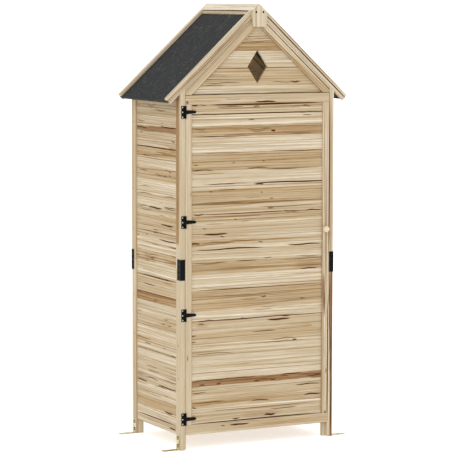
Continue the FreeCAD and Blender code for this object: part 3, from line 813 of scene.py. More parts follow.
# Beech turned on a lathe and sanded: close-grained and pale, smoother than the planed boards.
BEECH = Mottled("turned_beech", "#CDBA98", "#DDCBAC", 0.5, 3.0)
# Opal acrylic over lamps, as for catalogue pictures: even, matt, almost white.
ACRYLIC = Mottled("opal_acrylic_light_table", "#F2F2F1", "#F6F6F5", 0.9, 400.0)


def slope(side: int) -> Array:
    """Directions on a roof slope: p squarely into it, q from front to back, w down it.

    Args:
        side: -1 for the left slope, 1 for the right.

    Returns:
        The three directions, one per row.
    """
    return np.array([[-side * SIN, 0, -COS], Y, [side * COS, 0, -SIN]])


def to_wall(depth: Array | float) -> Array | float:
    """How far down the slope a depth below the roof line meets the plane |x| = INNER."""
    return (INNER + depth * SIN) / COS


def both(near: float, far: float) -> tuple[Pair, Pair]:
    """A span and its mirror image: (-far, -near) and (near, far)."""
    return (-far, -near), (near, far)


@dataclass
class CornerPosts:
    """Four posts, each of two lengths that meet under a steel connector, and the stop battens."""

    outer: float = 350.0
    joint: float = 731.0
    depths: tuple[Pair, Pair] = ((FRONT, -188.0), (192.0, 230.0))
    cut: float = 24.5
    lamination: Pair = (835.0, -216.0)
    heartwood: float = 338.5
    batten: float = 14.0
    batten_top: float = 1395.0

    def top(self, section: Array) -> Array:
        """The roof's cut: z = apex - |x| tan(pitch) - cut / cos(pitch)."""
        return APEX - np.abs(section[:, 0]) * TAN - self.cut / COS

    def build(self) -> None:
        """Makes the eight posts and the four battens."""
        start, depth = self.lamination
        tonings = {
            "front_left_lower": Shade.P,
            "front_left_upper": parted(start, Shade.P, parted(depth, Shade.P, Shade.D, "q"), "w"),
            "front_right_lower": parted(self.heartwood, Shade.C, Shade.D),
            "front_right_upper": Shade.C,
            "rear_left_lower": Shade.P,
            "rear_left_upper": Shade.S,
            "rear_right_lower": Shade.S,
            "rear_right_upper": Shade.P,
        }
        for place, toning in tonings.items():
            piece = Piece(f"post_{place}")
            right = "right" in place
            near, far = self.depths["rear" in place]
            low, high = both(INNER, self.outer)[right]
            section = eased((low, near), (high, far))
            start, stop = (0.0, self.joint) if "lower" in place else (self.joint, self.top(section))
            figure = 0.15 if "front_left" in place else 0.5
            streaks = POST_STREAKS_AND_SHADOW.get(place, ())
            face = "p" if right else "q"
            piece.bar(section, start, stop, UP, toning, streaks=streaks, face=face, ease=0.6, figure=figure)
            piece.fir()
        battens = Piece("corner_battens")
        for low, high in both(INNER - self.batten, INNER):
            for near, far in TIES:
                battens.bar(eased((low, near), (high, far)), 0, self.batten_top, UP, Shade.P)
        battens.fir()


@dataclass
class Walls:
    """The boarded sides and back, below and above the joint of the posts."""

    lower: tuple[float, float, int] = (58.0, 675.5, 9)
    upper: tuple[float, float, int] = (676.5, 1440.0, 11)
    back_top: float = 1430.0
    side_span: Pair = (-194, 198)
    side_face: float = 344.0
    back_span: Pair = (-336, 336)
    back_face: float = 220.0

    def build(self) -> None:
        """Makes the six runs of boards."""
        for name, shades in WALL_SHADES.items():
            rows = self.lower if "lower" in name else self.upper
            if "back" in name:
                rows = (rows[0], min(rows[1], self.back_top), rows[2])
                wall = Cladding(name, rows, self.back_span, Y, X, self.back_face, shades)
            elif "right" in name:
                wall = Cladding(name, rows, self.side_span, X, Y, self.side_face, shades)
            else:
                looks = ("", SIDE_LAYERS, SIDE_STREAKS)
                wall = Cladding(name, rows, self.side_span, -X, Y, self.side_face, *looks)
            wall.build()


@dataclass
class Gables:
    """Front and rear gables: cut boards with a diamond vent, rafters, cleats and lintels."""

    base: float = 1430.0
    pitch: float = 69.0
    tip: float = 1756.5
    face: float = 220.0
    thick: float = 11.0
    cut: float = 24.5
    step: float = 9.0
    figure: float = 0.6
    rafter: Pair = (33.0, 63.5)
    cleat_base: float = 1440.0
    lintel: Pair = (1395.0, 1440.0)
    vent: tuple[float, float, float] = (1538.0, 45.5, 68.0)

    def boards(self, name: str, out: Array, shades: str, streaks: Streaks = ()) -> None:
        """Makes the boards of one gable.

        Half the width at a height z is min(INNER, (apex - z - cut / cos) / tan). The front's vent cuts boards
        into two lengths, whose inner ends follow |x| = half (1 - |z - middle| / rise).

        Args:
            name: the CAD node.
            out: the direction that the gable faces.
            shades: the strips' shades from the bottom.
            streaks: the marks in its face.
        """
        piece = Piece(name)
        middle, half, rise = self.vent
        for k in range(len(shades) // 2):
            low = self.base + k * self.pitch + PLAY
            high = min(low + self.pitch - 2 * PLAY, self.tip)
            face = board_face(low, high)
            for height in (middle - rise, middle, middle + rise):
                face = with_height(face, height)
            back = np.stack([face[::-1, 0], np.full(len(face), -self.thick)], -1)
            section = np.vstack([face, back])
            z = section[:, 0]
            wide = np.clip((APEX - z - self.cut / COS) / TAN, 0.01, INNER)
            gap = half * np.clip(1 - np.abs(z - middle) / rise, 0, 1)
            cut = "front" in name and low < middle + rise and high > middle - rise
            tones = parted((low + high) / 2, Shade[shades[2 * k]], Shade[shades[2 * k + 1]])
            state = piece.rng.bit_generator.state
            for start, stop in ((-wide, -gap), (gap, wide)) if cut else ((-wide, wide),):
                piece.rng.bit_generator.state = state
                axes, origin = np.array([Z, out, X]), out * self.face
                piece.bar(
                    section, start, stop, axes, tones, origin, streaks, self.step, 0.0,
                    figure=self.figure, ladder=True,
                )
        piece.fir("fir_boards", smooth=None)

    def frame(self) -> None:
        """Makes the rafters, the cleats behind the boards and the two lintels."""
        faces = {"gable_rafters": both(self.face, self.face + 10), "gable_cleats": TIES}
        levels = {"gable_rafters": (self.base, Shade.S), "gable_cleats": (self.cleat_base, Shade.P)}
        for name, (level, shade) in levels.items():
            piece = Piece(name)
            for side in (-1, 1):
                for near, far in faces[name]:
                    section = eased((self.rafter[0], near), (self.rafter[1], far), 1.2, 1.8)
                    depth = section[:, 0]
                    floor = (APEX - level - depth * COS) / SIN
                    stop = np.minimum(to_wall(depth), floor)
                    streaks = RAFTER_STREAKS_AND_SHADOW[side]
                    piece.bar(section, depth * TAN, stop, slope(side), shade, RIDGE, streaks, ease=0.0)
            piece.fir()
        for name, (near, far) in zip(("front_lintel", "rear_lintel"), TIES):
            piece = Piece(name)
            piece.bar(eased((near, self.lintel[0]), (far, self.lintel[1])), -INNER, INNER, ACROSS)
            piece.fir()

    def build(self) -> None:
        """Makes both gables."""
        self.boards("gable_boards_front", -Y, "PTTCCBSSPS", GABLE_STREAKS)
        self.boards("gable_boards_rear", Y, "PSSTCPSBPS")
        self.frame()


def with_height(line: Array, height: float) -> Array:
    """Adds a point to a falling line where it crosses a height: A + (B - A) (h - A_p) / (B_p - A_p).

    Args:
        line: (n, 2) points with p falling.
        height: the p value to add.

    Returns:
        The line, with one more point if the height lies inside it.
    """
    if not line[-1, 0] + 0.01 < height < line[0, 0] - 0.01 or np.min(np.abs(line[:, 0] - height)) < 0.01:
        return line
    k = int(np.searchsorted(-line[:, 0], -height))
    share = (height - line[k - 1, 0]) / (line[k, 0] - line[k - 1, 0])
    return np.insert(line, k, line[k - 1] + share * (line[k] - line[k - 1]), axis=0)


@dataclass
class Roof:
    """Deck, felt with its folded eave, battens, barge boards, verge covers and mouldings, caps, keystones.

    The first pairs are depths below the roof line. Then come the distances down the slope, and the places to
    the front and to the back of the middle.
    """

    cap: Pair = (0, 8)
    top_batten: Pair = (3, 8)
    felt: Pair = (8, 10)
    deck: Pair = (10, 16)
    batten: Pair = (16, 33)
    barge: Pair = (10, 24.5)
    cover: Pair = (-3, 8)
    moulding: Pair = (25.2, 32.3)
    lip: float = 18
    cap_edge: float = 41
    top_batten_edge: float = 56
    eave: float = 556.0
    top_half: float = 208
    deck_half: float = 212
    felt_half: float = 224
    moulding_span: Pair = (219.9, 228)
    verge: float = 230
    plate_face: float = 239.6
    plate: tuple[Pair, ...] = ((1789, 0), (1755, -37), (1698, -30), (1698, 30), (1755, 37))

    def strip(
        self, piece: Piece, side: int, v: Pair, y: Pair, stop: float, shade: Shade = Shade.S,
        start: float | None = None, radius: float = 1.0, ease: float = 0.0, streaks: Streaks = (),
    ) -> None:
        """Carries a rectangle down a slope.

        Args:
            piece: the piece that gets it.
            side: -1 left, 1 right.
            v: its depths below the roof line, mm.
            y: from front to back, mm.
            stop: where it ends down the slope, mm.
            shade: its shade.
            start: where it starts, or None for the mitre at the ridge, s = v tan(pitch).
            radius: how far the long arrises are rounded.
            ease: how far the end arrises are taken off.
            streaks: lines and knots in (s, v).
        """
        section = eased((v[0], y[0]), (v[1], y[1]), radius)
        start = section[:, 0] * TAN if start is None else start
        piece.bar(section, start, stop, slope(side), shade, RIDGE, streaks, ease=ease)

    def along(
        self, piece: Piece, side: int, corners: tuple[Pair, ...], half: float, shade: Shade = Shade.S,
        streaks: Streaks = (), gap: float = 2.5, ease: float = 0.8,
    ) -> None:
        """Carries an outline in (depth, down the slope) along the roof.

        Args:
            piece: the piece that gets it.
            side: -1 left, 1 right.
            corners: the outline's corners, mm.
            half: how far it goes to the front and to the back, mm.
            shade: its shade.
            streaks: lines in (y, s).
            gap: the longest side left in the outline, mm.
            ease: how far the end arrises are taken off.
        """
        section = filled(np.array(corners, float), gap)
        axes = slope(side)[[0, 2, 1]]
        piece.bar(section, -half, half, axes, shade, RIDGE, streaks, ease=ease, face="q")

    def lengthwise(self, piece: Piece, side: int, x: Pair) -> None:
        """A batten along the roof between two upright cuts: a parallelogram in (z, x) carried along y.

        Args:
            piece: the piece that gets it.
            side: -1 left, 1 right.
            x: its cuts, mm from the middle.
        """
        inner, outer = sorted((side * x[0], side * x[1]))
        high, low = self.batten
        places = ((inner, high), (outer, high), (outer, low), (inner, low))
        corners = [(APEX - abs(at) * TAN - v / COS, at) for at, v in places]
        half = TIES[1][0]
        piece.bar(filled(np.array(corners), 8.0), -half, half, DEEP, ease=0.0)

    def slopes(self) -> None:
        """Makes each slope's deck, battens, felt and ridge cap."""
        top, under = self.felt
        felt = [(top, top * TAN), (under, under * TAN), (under, self.eave), (self.lip, self.eave)]
        felt += [(self.lip, self.eave + 2), (top, self.eave + 2)]
        thick, edge = self.cap[1], self.cap_edge
        cap = ((0, 0), (thick, thick * TAN), (thick, edge), (0, edge))
        for side, word in ((-1, "left"), (1, "right")):
            piece = Piece(f"roof_deck_{word}")
            self.strip(piece, side, self.deck, (-self.deck_half, self.deck_half), self.eave, radius=0.3)
            # The deck's near-black is a painted shade for the underside of the roof
            piece.build("cabinet", EAVE_SHADE_PLY, "roof_deck", (piece.name,))
            piece = Piece(f"roof_battens_{word}")
            for y in TIES:
                self.strip(piece, side, self.batten, y, to_wall(self.batten[1]))
            self.lengthwise(piece, side, (300.0, INNER))
            self.lengthwise(piece, side, (0.0, 30.0))
            piece.fir()
            piece = Piece(f"roof_felt_{word}")
            self.along(piece, side, felt, self.felt_half, gap=12.0, ease=0.0)
            piece.build("cabinet", FELT, "roof_felt", (piece.name,))
            piece = Piece(f"ridge_cap_{word}")
            self.along(piece, side, cap, self.verge, Shade.W, CAP_STREAKS_AND_SHADOW)
            piece.fir()

    def build(self) -> None:
        """Makes every piece of the roof."""
        self.slopes()
        tops, covers, mouldings = (Piece(name) for name in ("top_battens", "verge_covers", "verge_mouldings"))
        (high, low), near, far = self.top_batten, self.cap_edge, self.top_batten_edge
        row = ((high, near), (low, near), (low, far), (high, far))
        for side in (-1, 1):
            self.along(tops, side, row, self.top_half, Shade.P)
            edge = VERGE_STREAKS if side > 0 else ()
            for y in both(self.top_half, self.verge):
                self.strip(covers, side, self.cover, y, self.eave, Shade.C, near, ease=0.6, streaks=edge)
            for y in both(*self.moulding_span):
                self.strip(mouldings, side, self.moulding, y, to_wall(self.moulding[1]), Shade.C)
        tops.fir()
        covers.fir()
        for word, y in zip(("front", "rear"), both(self.deck_half, self.verge)):
            piece = Piece(f"barge_boards_{word}")
            for side, shade in ((-1, Shade.K), (1, Shade.P)):
                self.strip(piece, side, self.barge, y, self.eave, shade, streaks=BARGE_STREAKS_AND_SHADOW[side])
            piece.fir()
        mouldings.build("cabinet", FIR, "fir_frame", smooth=30)
        plates = Piece("keystone_plates")
        outline = filled(np.array(self.plate, float), 6.0)
        for near, far in both(self.verge, self.plate_face):
            plates.bar(outline, near, far, DEEP, Shade.C, ease=0.8, order=(1, 2, 0))
        plates.fir(smooth=None)


@dataclass
class DoorLeaf:
    """The ledged door: rails, stiles in two lengths, tongued boards and inner battens."""

    half: float = 328.5
    inner: float = 300.0
    depth: Pair = (FRONT, -212.0)
    top_rail: Pair = (1391.0, 1428.0)
    bottom_rail: Pair = (60.5, 101.0)
    stile_joint: float = 522.0
    board_face: float = 223.0
    board_span: Pair = (-306, 306)
    upper: tuple[float, float, int] = (520.5, 1397.0, 13)
    lower: tuple[float, float, int] = (95.0, 519.5, 6)
    battens: tuple[Pair, ...] = ((101.6, 151.6), (500.0, 560.0), (897.5, 947.5), (1336.9, 1386.9))
    batten_back: float = -196.0
    batten_half: float = 312.0

    def build(self) -> None:
        """Makes the leaf and everything on it that is of fir."""
        near, far = self.depth
        for name, (low, high) in (("door_top_rail", self.top_rail), ("door_bottom_rail", self.bottom_rail)):
            piece = Piece(name)
            section = eased((near, low), (far, high), gap=2.0)
            piece.bar(section, -self.half, self.half, ACROSS, streaks=RAIL_STREAKS[name], step=8.0, face="q")
            piece.fir(body="door")
        joint = self.stile_joint
        ends = {"lower": (self.bottom_rail[1], joint), "upper": (joint, self.top_rail[0])}
        for place, shade in zip(("left_lower", "left_upper", "right_lower", "right_upper"), "PPSC"):
            side, level = place.split("_")
            piece = Piece(f"door_stile_{place}")
            low, high = both(self.inner, self.half)[side == "right"]
            section = eased((low, near), (high, far), gap=2.0)
            figure = 0.1 if side == "left" else 0.7
            streaks = STILE_STREAKS_AND_SHADOW[side]
            piece.bar(section, *ends[level], UP, Shade[shade], streaks=streaks, ease=0.5, figure=figure)
            piece.fir(body="door")
        for level, rows in (("upper", self.upper), ("lower", self.lower)):
            looks = ("", DOOR_LAYERS, DOOR_STREAKS_AND_SHADOW, 0.5, "door")
            Cladding(f"door_boards_{level}", rows, self.board_span, -Y, X, self.board_face, *looks).build()
        piece = Piece("door_battens")
        for low, high in self.battens:
            section = eased((far, low), (self.batten_back, high), 2.0)
            piece.bar(section, -self.batten_half, self.batten_half, ACROSS, Shade.P)
        piece.fir(body="door")


@dataclass
class Inside:
    """The floor on its bearers and two slatted shelves on cleats."""

    front: float = -190.0
    back: float = 191.0
    floor: Pair = (78.0, 88.0)
    floor_half: float = 315.0
    floor_pitch: float = 66.83
    floor_board: float = 64.85
    bearer: Pair = (60.0, 78.0)
    bearer_front: float = -188.0
    shelves: Pair = (540.0, 960.0)
    shelf_front: float = -160.0
    shelf_thick: float = 10.0
    shelf_pitch: float = 89.75
    shelf_board: float = 81.75
    shelf_half: float = 333.0
    cleat: float = 18.0

    def build(self) -> None:
        """Makes the floor and the shelves."""
        floor = Piece("floor_boards")
        for k, shade in enumerate("PSTPSP"):
            near = self.front + self.floor_pitch * k
            section = eased((near, self.floor[0]), (near + self.floor_board, self.floor[1]), 1.0)
            floor.bar(section, -self.floor_half, self.floor_half, ACROSS, Shade[shade])
        floor.fir("fir_boards")
        bearers, cleats = Piece("floor_bearers"), Piece("shelf_cleats")
        for low, high in both(303.0, self.shelf_half):
            section = eased((self.bearer[0], low), (self.bearer[1], high))
            bearers.bar(section, self.bearer_front, self.back, DEEP)
        for low, high in both(self.floor_half, self.shelf_half):
            for top in self.shelves:
                section = eased((top - self.cleat, low), (top, high))
                cleats.bar(section, self.shelf_front, self.back, DEEP, Shade.P)
        bearers.fir()
        cleats.fir()
        shelves = Piece("shelf_boards")
        for k, shade in enumerate("SPCTPSSP"):
            low = self.shelves[k // 4]
            near = self.shelf_front + self.shelf_pitch * (k % 4)
            section = eased((near, low), (near + self.shelf_board, low + self.shelf_thick), 1.2)
            shelves.bar(section, -self.shelf_half, self.shelf_half, ACROSS, Shade[shade])
        shelves.fir("fir_boards")


@dataclass
class Ironmongery:
    """The CAD model's own hinges, connectors, anchors, catch and knob in their finishes, and the screws.

    The numbers are where the screws' and nails' heads stand: heights, places across and from front to back.
    """

    hinges: tuple[float, ...] = (126.6, 547.9, 922.5, 1361.9)
    hinge_face: float = -231.5
    leaf_across: float = -341.5
    leaf_pitch: float = 19
    strap_across: Pair = (-315.5, -288.5)
    connector_face: float = 351.5
    connector_depths: Pair = (-214, 219)
    connector_heights: tuple[float, ...] = (700, 721, 742, 763)
    anchor_face: float = 352.0
    anchor_depth: float = 206.5
    anchor_heights: Pair = (17, 49)
    plate_face: float = 239.4
    plate_height: float = 1757.0
    plate_across: float = 16
    nail_face: float = -350.0
    nails: tuple[tuple[float, tuple[float, ...]], ...] = (
        (212.0, (1303, 1027, 860, 586, 421, 280)),
        (-210.0, (424, 290)),
    )

    def build(self) -> None:
        """Dresses the metal, nylon and turned nodes that are shown as the CAD model has them."""
        finishes = {
            BLACK_STEEL: ("post_connectors", "hinge_leaves", "hinge_straps", "hinge_pins"),
            YELLOW_ZINC: ("ground_anchors",),
            ZINC: ("strike_plate", "knob_screw"),
            NYLON: ("door_catch",),
            BEECH: ("knob",),
        }
        for finish, names in finishes.items():
            for name in names:
                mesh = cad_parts[name].data
                mesh.materials.clear()
                mesh.materials.append(finish.material())
                log.info("%s: dressed", name)
        self.screws()

    def screws(self) -> None:
        """Screw and nail heads: a low dome with a sunk drive, a black cupped washer that stands as a painted
        shadow ring round each anchor screw's head, a flat disc for the nails.
        """
        pan = np.array([(-0.8, 3.0), (0.5, 3.0), (1.2, 2.4), (1.5, 1.7), (1.5, 1.1), (0.8, 0.9), (0.7, 0.2)])
        cup = np.array([(-0.8, 7.6), (0.9, 7.6), (1.3, 7.2), (1.3, 0.4)])
        flat = np.array([(-0.6, 2.0), (0.25, 2.0), (0.35, 1.6), (0.3, 0.2)])
        pitch, face = self.leaf_pitch, self.hinge_face
        leaf = [((self.leaf_across, face, z + up), -Y) for z in self.hinges for up in (-pitch, 0, pitch)]
        strap = [((x, face, z), -Y) for z in self.hinges for x in self.strap_across]
        connector, anchor = (
            [((side * wide, y, z), side * X) for side in (-1, 1) for y in depths for z in heights]
            for wide, depths, heights in (
                (self.connector_face, self.connector_depths, self.connector_heights),
                (self.anchor_face, (-self.anchor_depth, self.anchor_depth), self.anchor_heights),
            )
        )
        across, up = self.plate_across, self.plate_height
        plate = [((x, way * self.plate_face, up), way * Y) for way in (-1, 1) for x in (-across, across)]
        nails = [((self.nail_face, y, z), -X) for y, heights in self.nails for z in heights]
        for name, body, finish, slot, profile, places in (
            ("leaf_screws", "cabinet", ZINC, "zinc_steel", pan * (0.6, 0.9), leaf),
            ("strap_screws", "door", BLACK_STEEL, "black_steel", pan * (1, 0.85), strap),
            ("connector_screws", "cabinet", BLACK_STEEL, "black_steel", pan * (1, 1.1), connector),
            # Black washers under the anchor screws: a painted shadow ring round each head
            ("anchor_washers", "cabinet", BLACK_STEEL, "black_steel", cup, anchor),
            ("anchor_screws", "cabinet", YELLOW_ZINC, "zinc_steel", pan * (1.6, 1.55), anchor),
            ("keystone_screws", "cabinet", BLACK_STEEL, "black_steel", pan * (0.36, 1.5), plate),
            ("post_nails", "cabinet", BLACK_STEEL, "black_steel", flat, nails),
        ):
            piece = Piece(name)
            for centre, axis in places:
                piece.turned(profile, np.array(centre, float), axis)
            piece.build(body, finish, slot, smooth=40)


WALL_SHADES = {
    "side_boards_left_lower": "",
    "side_boards_left_upper": "",
    "side_boards_right_lower": "PSTCSPBSPCTSPSCBPS",
    "side_boards_right_upper": "SPCTPSBSPCSTPSKCSPBTSP",
    "back_boards_lower": "SPTCPSSBCPSTPSCPBS",
    "back_boards_upper": "PSCBSPTPSCPSKTPSCPBSPS",
}

# Strips of the door and of the left side as the photograph shows them, from the bottom up
DOOR_LAYERS = (
    "S101 P111 S131 P146 S151 C172 T195 P222 S230 P253 R279 C307 P376 S383 C391 P404 P425 T468 P480 "
    "S519.5 C560 T645 C707 T751 S757 P803 P826 S841 C848 P863 S910 C915 T936 T945 S952 T965 S987 T1001 "
    "T1050 P1066 C1123 T1194 C1262 B1303 C1349 S1354 P1370 T1387 P1430"
)
SIDE_LAYERS = (
    "P92 C131 B176 P231 S262 P300 S332 C366 P402 S424 C469 S525 P572 D606 T640 S676 C711 P735 S745 T780 "
    "C832 P850 S863 P884 T930 P945 S961 P998 S1015 P1030 C1075 T1124 C1169 B1209 S1229 P1240 S1270 R1293 "
    "S1345 S1400 P1440"
)

# Marks read off the photograph: (along, across, half length, thickness, depth, wave, red)
# The three lines at 1388, just under the top rail, are a painted shadow; the others are the boards' lines and
# patches
DOOR_STREAKS_AND_SHADOW = marks(
    (-285, 1388, 16, 2.2, 0.9), (-248, 1388, 24, 1.6, 0.45), (37, 1388, 265, 2.8, 1, 0.4),
    (-138, 1379, 50, 4, 0.2, 1, 0.35), (-105, 1380, 46, 1.4, 0.5), (-5, 1379, 16, 1.6, 0.6),
    (222, 1379, 18, 1.6, 0.55), (0, 1351, 420, 1.9, 0.75, 0.5), (-210, 1351, 62, 2.2, 0.4),
    (240, 1351, 60, 2.2, 0.4), (-30, 1326, 14, 1.8, 0.6), (0, 1303, 420, 1.1, 0.35, 0.5),
    (190, 1282, 120, 13, 0, 0, 0.35), (12, 1286, 62, 1.6, 0.5, 3), (12, 1279, 55, 1.4, 0.4, 3),
    (73, 1279, 8, 3.5, 0.85, 0, 0.6), (-260, 1290, 30, 1.4, 0.5), (-250, 1280, 26, 1.2, 0.4),
    (-160, 1260, 140, 1.5, 0.6), (-180, 1195, 122, 1.4, 0.3, 0.8, 0.4),
    (180, 1195, 140, 1.6, 0.45, 0.6, 0.3), (0, 1185, 290, 0.9, 0.25, 1.5), (0, 1173, 290, 0.9, 0.25, 1.5),
    (-40, 1161, 240, 0.9, 0.25, 1.5), (20, 1149, 270, 0.9, 0.2, 1.5), (0, 1137, 290, 0.9, 0.2, 1.5),
    (-110, 1154, 6, 2, 0.5, 0), (30, 1157, 6, 2, 0.5, 0), (-278, 1149, 7, 2, 0.5, 0),
    (-250, 1128, 52, 1.6, 0.7), (150, 1123, 150, 1.4, 0.6), (-220, 1112, 80, 1.2, 0.35),
    (160, 1068.5, 190, 2.2, 0.95, 0.8), (8, 1065, 22, 3, 0.6, 1, 0.3), (-138, 1070, 118, 1.3, 0.4),
    (-210, 1040, 6, 2, 0.5, 0), (20, 1030, 6, 2, 0.5, 0), (65, 1004, 7, 2, 0.5, 0),
    (-180, 995, 122, 1.6, 0.35, 1, 0.6), (0, 989, 420, 1.6, 0.45, 0.8, 0.6), (150, 970, 152, 1.5, 0.5),
    (60, 965, 16, 3.5, 0.2, 0, 1), (0, 949, 300, 1.7, 0.65, 0.4), (-265, 949, 26, 1.8, 0.9),
    (135, 949, 8, 1.8, 0.9), (260, 949, 42, 1.8, 0.9), (0, 940, 300, 1.6, 0.25, 0.6, 0.8),
    (-100, 925, 6, 2, 0.5, 0), (-240, 892, 7, 2, 0.5, 0), (-190, 868, 56, 2.4, 1, 0.8),
    (-160, 857, 10, 1.6, 0.6), (-280, 834, 22, 2, 0.85), (-180, 834, 80, 1.5, 0.5),
    (15, 828, 12, 2, 0.5), (-125, 807, 156, 2.1, 0.9, 1.5), (220, 809.5, 82, 2.1, 0.9, 1),
    (50, 762, 20, 1.4, 0.5), (230, 760, 62, 1.4, 0.5), (-215, 752, 87, 1.6, 0.55),
    (200, 750, 100, 1.3, 0.4), (240, 724, 70, 12, 0.1, 0, 0.35), (-100, 726, 90, 11, 0, 0, 0.25),
    (240, 709, 42, 1.8, 0.8), (0, 643, 300, 1.5, 0.6, 0.5), (0, 631, 290, 0.9, 0.25, 1.5),
    (0, 619, 290, 0.9, 0.25, 1.5), (-30, 607, 260, 0.9, 0.2, 1.5), (10, 594, 280, 0.9, 0.2, 1.5),
    (30, 604, 12, 1.8, 0.75), (210, 587, 12, 1.6, 0.55), (0, 519, 300, 1.8, 0.6, 1.5),
    (-225, 519, 46, 1.8, 0.85), (-60, 519, 22, 1.8, 0.85), (130, 519, 32, 1.8, 0.85),
    (100, 506, 52, 2.6, 1, 0.8), (100, 506, 60, 5, 0.05, 0.8, 0.3), (-255, 507, 14, 1.8, 0.7),
    (-250, 500, 32, 8, 0, 0, 0.3), (-290, 461, 10, 1.8, 0.7), (-290, 436, 12, 1.8, 0.5, 1, 0.5),
    (120, 426, 62, 1.4, 0.45, 3), (120, 415, 58, 1.2, 0.4, 3), (175, 417, 8, 2.6, 0.7, 0, 0.5),
    (-200, 385, 100, 1.4, 0.5), (-190, 277, 100, 1.6, 0.85, 0.6), (-60, 277, 60, 1.6, 0.7, 0.6),
    (160, 277, 50, 1.8, 0.85, 0.6), (-60, 268, 150, 1.2, 0.45, 1.2), (-250, 259, 12, 1.8, 0.9),
    (-175, 259, 12, 1.8, 0.9), (0, 259, 14, 1.8, 0.9), (75, 259, 13, 1.8, 0.9),
    (255, 268, 70, 1.4, 0.65, 0.8), (270, 262, 40, 1.8, 0.7), (240, 228, 62, 1.8, 0.75),
    (-265, 228, 36, 1.6, 0.5), (-220, 187, 82, 1.8, 0.4, 1, 0.9), (260, 185, 42, 2.4, 0.95),
    (15, 178, 46, 2, 0.6), (-285, 168, 10, 1.8, 0.7), (30, 149, 290, 1.4, 0.5, 0.8),
    (-95, 110, 16, 2, 0.8), (60, 115, 26, 3, 1), (20, 120, 100, 13, 0, 0, 0.3),
    (0, 102.5, 300, 2.2, 0.8, 0.3),
)
SIDE_STREAKS = marks(
    (-32, 1360, 58, 1.4, 0.6), (55, 1379, 46, 1.3, 0.45, 4), (55, 1371, 40, 1.2, 0.35, 4),
    (150, 1311, 40, 1.5, 0.5), (-50, 1310, 6, 2, 0.5, 0), (-108, 1294, 82, 1.9, 0.9, 0.8),
    (-50, 1297, 6, 2, 0.5, 0), (145, 1285, 60, 1.8, 0.8), (60, 1274, 130, 1.2, 0.4),
    (150, 1265, 9, 2, 0.6), (-150, 1239, 20, 1.8, 0.7), (0, 1208, 260, 2, 0.8, 0.4),
    (-150, 1203, 40, 4, 0, 0, 0.5), (-92, 1122, 6, 2, 0.5, 0), (-120, 1115, 12, 1.5, 0.65),
    (-120, 1100, 12, 1.5, 0.65), (-124, 1015, 64, 1.4, 0.5), (115, 1015, 75, 1.4, 0.5),
    (-122, 971, 62, 1.5, 0.7, 0.6), (-120, 965, 60, 1.3, 0.6, 0.8), (19, 961.5, 68, 2.4, 1, 0.8),
    (135, 962, 56, 1.5, 0.6), (-95, 897.5, 62, 2, 0.9, 0.6), (-115, 897, 25, 2.6, 1, 0.3),
    (-130, 887, 10, 1.5, 0.5), (0, 862, 260, 1.6, 0.5, 0.6), (15, 861, 22, 2, 0.7),
    (100, 845, 8, 1.8, 0.6), (180, 837, 8, 1.8, 0.6), (-102, 834, 87, 1.9, 0.9, 0.8),
    (60, 765, 80, 1.4, 0.4, 4), (60, 756, 80, 1.3, 0.4, 3.5), (45, 752, 25, 3.5, 0.35, 1.5, 0.4),
    (110, 740, 110, 5, 0.1, 0.5, 0.3), (0, 676, 190, 1.9, 0.8, 0.3), (-95, 676, 12, 2.2, 1),
    (-25, 676, 12, 2.2, 1), (75, 641, 62, 1.6, 0.6, 0.6), (0, 605, 260, 1.5, 0.55, 0.5),
    (140, 590, 80, 12, 0, 0, 0.3), (25, 577, 10, 1.6, 0.6), (180, 575, 8, 1.6, 0.6),
    (-85, 512, 22, 1.6, 0.5), (-115, 491, 22, 1.5, 0.5), (-60, 492, 22, 1.5, 0.5), (-70, 394, 9, 1.6, 0.6),
    (0, 370, 260, 1.6, 0.4, 0.5), (-150, 371, 30, 1.8, 0.5), (140, 369, 50, 1.6, 0.4),
    (-120, 262, 60, 1.4, 0.5), (155, 254, 45, 7, 0.15, 0, 0.4), (-95, 234, 90, 1.9, 0.9, 0.6),
    (-30, 228, 60, 1.3, 0.5), (145, 234, 50, 2, 0.95, 0.6), (30, 188, 80, 1.1, 0.4),
    (-108, 133, 42, 2.4, 0.85, 0.6), (0, 93, 190, 1.8, 0.75, 0.3), (0, 78, 190, 1, 0.4, 0.3),
    (-145, 74, 30, 2, 0.95, 0.5),
)
GABLE_STREAKS = marks(
    (-150, 1431, 150, 1.4, 0.35, 0.4), (120, 1431, 100, 1.4, 0.35, 0.4), (-200, 1466, 52, 1.3, 0.5),
    (-157, 1475, 90, 1.5, 0.5), (130, 1475, 72, 1.4, 0.5), (175, 1475, 20, 2, 0.95),
    (-200, 1490, 90, 0.9, 0.3), (-200, 1500, 90, 0.9, 0.3), (-200, 1507, 80, 0.9, 0.3),
    (0, 1533, 290, 1.2, 0.2, 0.4), (0, 1580, 200, 1, 0.3), (0, 1590, 190, 1, 0.3), (5, 1640, 66, 1.4, 0.55),
    (0, 1650, 120, 1.1, 0.4), (0, 1660, 110, 1.1, 0.35),
)
POST_STREAKS_AND_SHADOW = {
    "front_left_upper": marks((1110, -216.3, 270, 1, 0.45, 0.2)),
    "front_right_lower": marks(
        (560, 342, 240, 7, 0.2, 0.5, 0.8), (610, 334, 90, 2.4, 0.6, 0.5, 0.5),
        (455, 336, 120, 1.8, 0.6, 2, 0.5), (300, 342, 130, 2.4, 0.75, 1, 0.4),
        (120, 343, 130, 2.8, 0.65, 0.8, 0.8),
    ),
    # The upper post's line at 331.5, on its edge beside the door, is a painted shadow in the gap
    "front_right_upper": marks((1080, 331.5, 350, 1.6, 0.65, 0.2), (1050, 338, 330, 5, 0, 0.5, 0.35)),
}
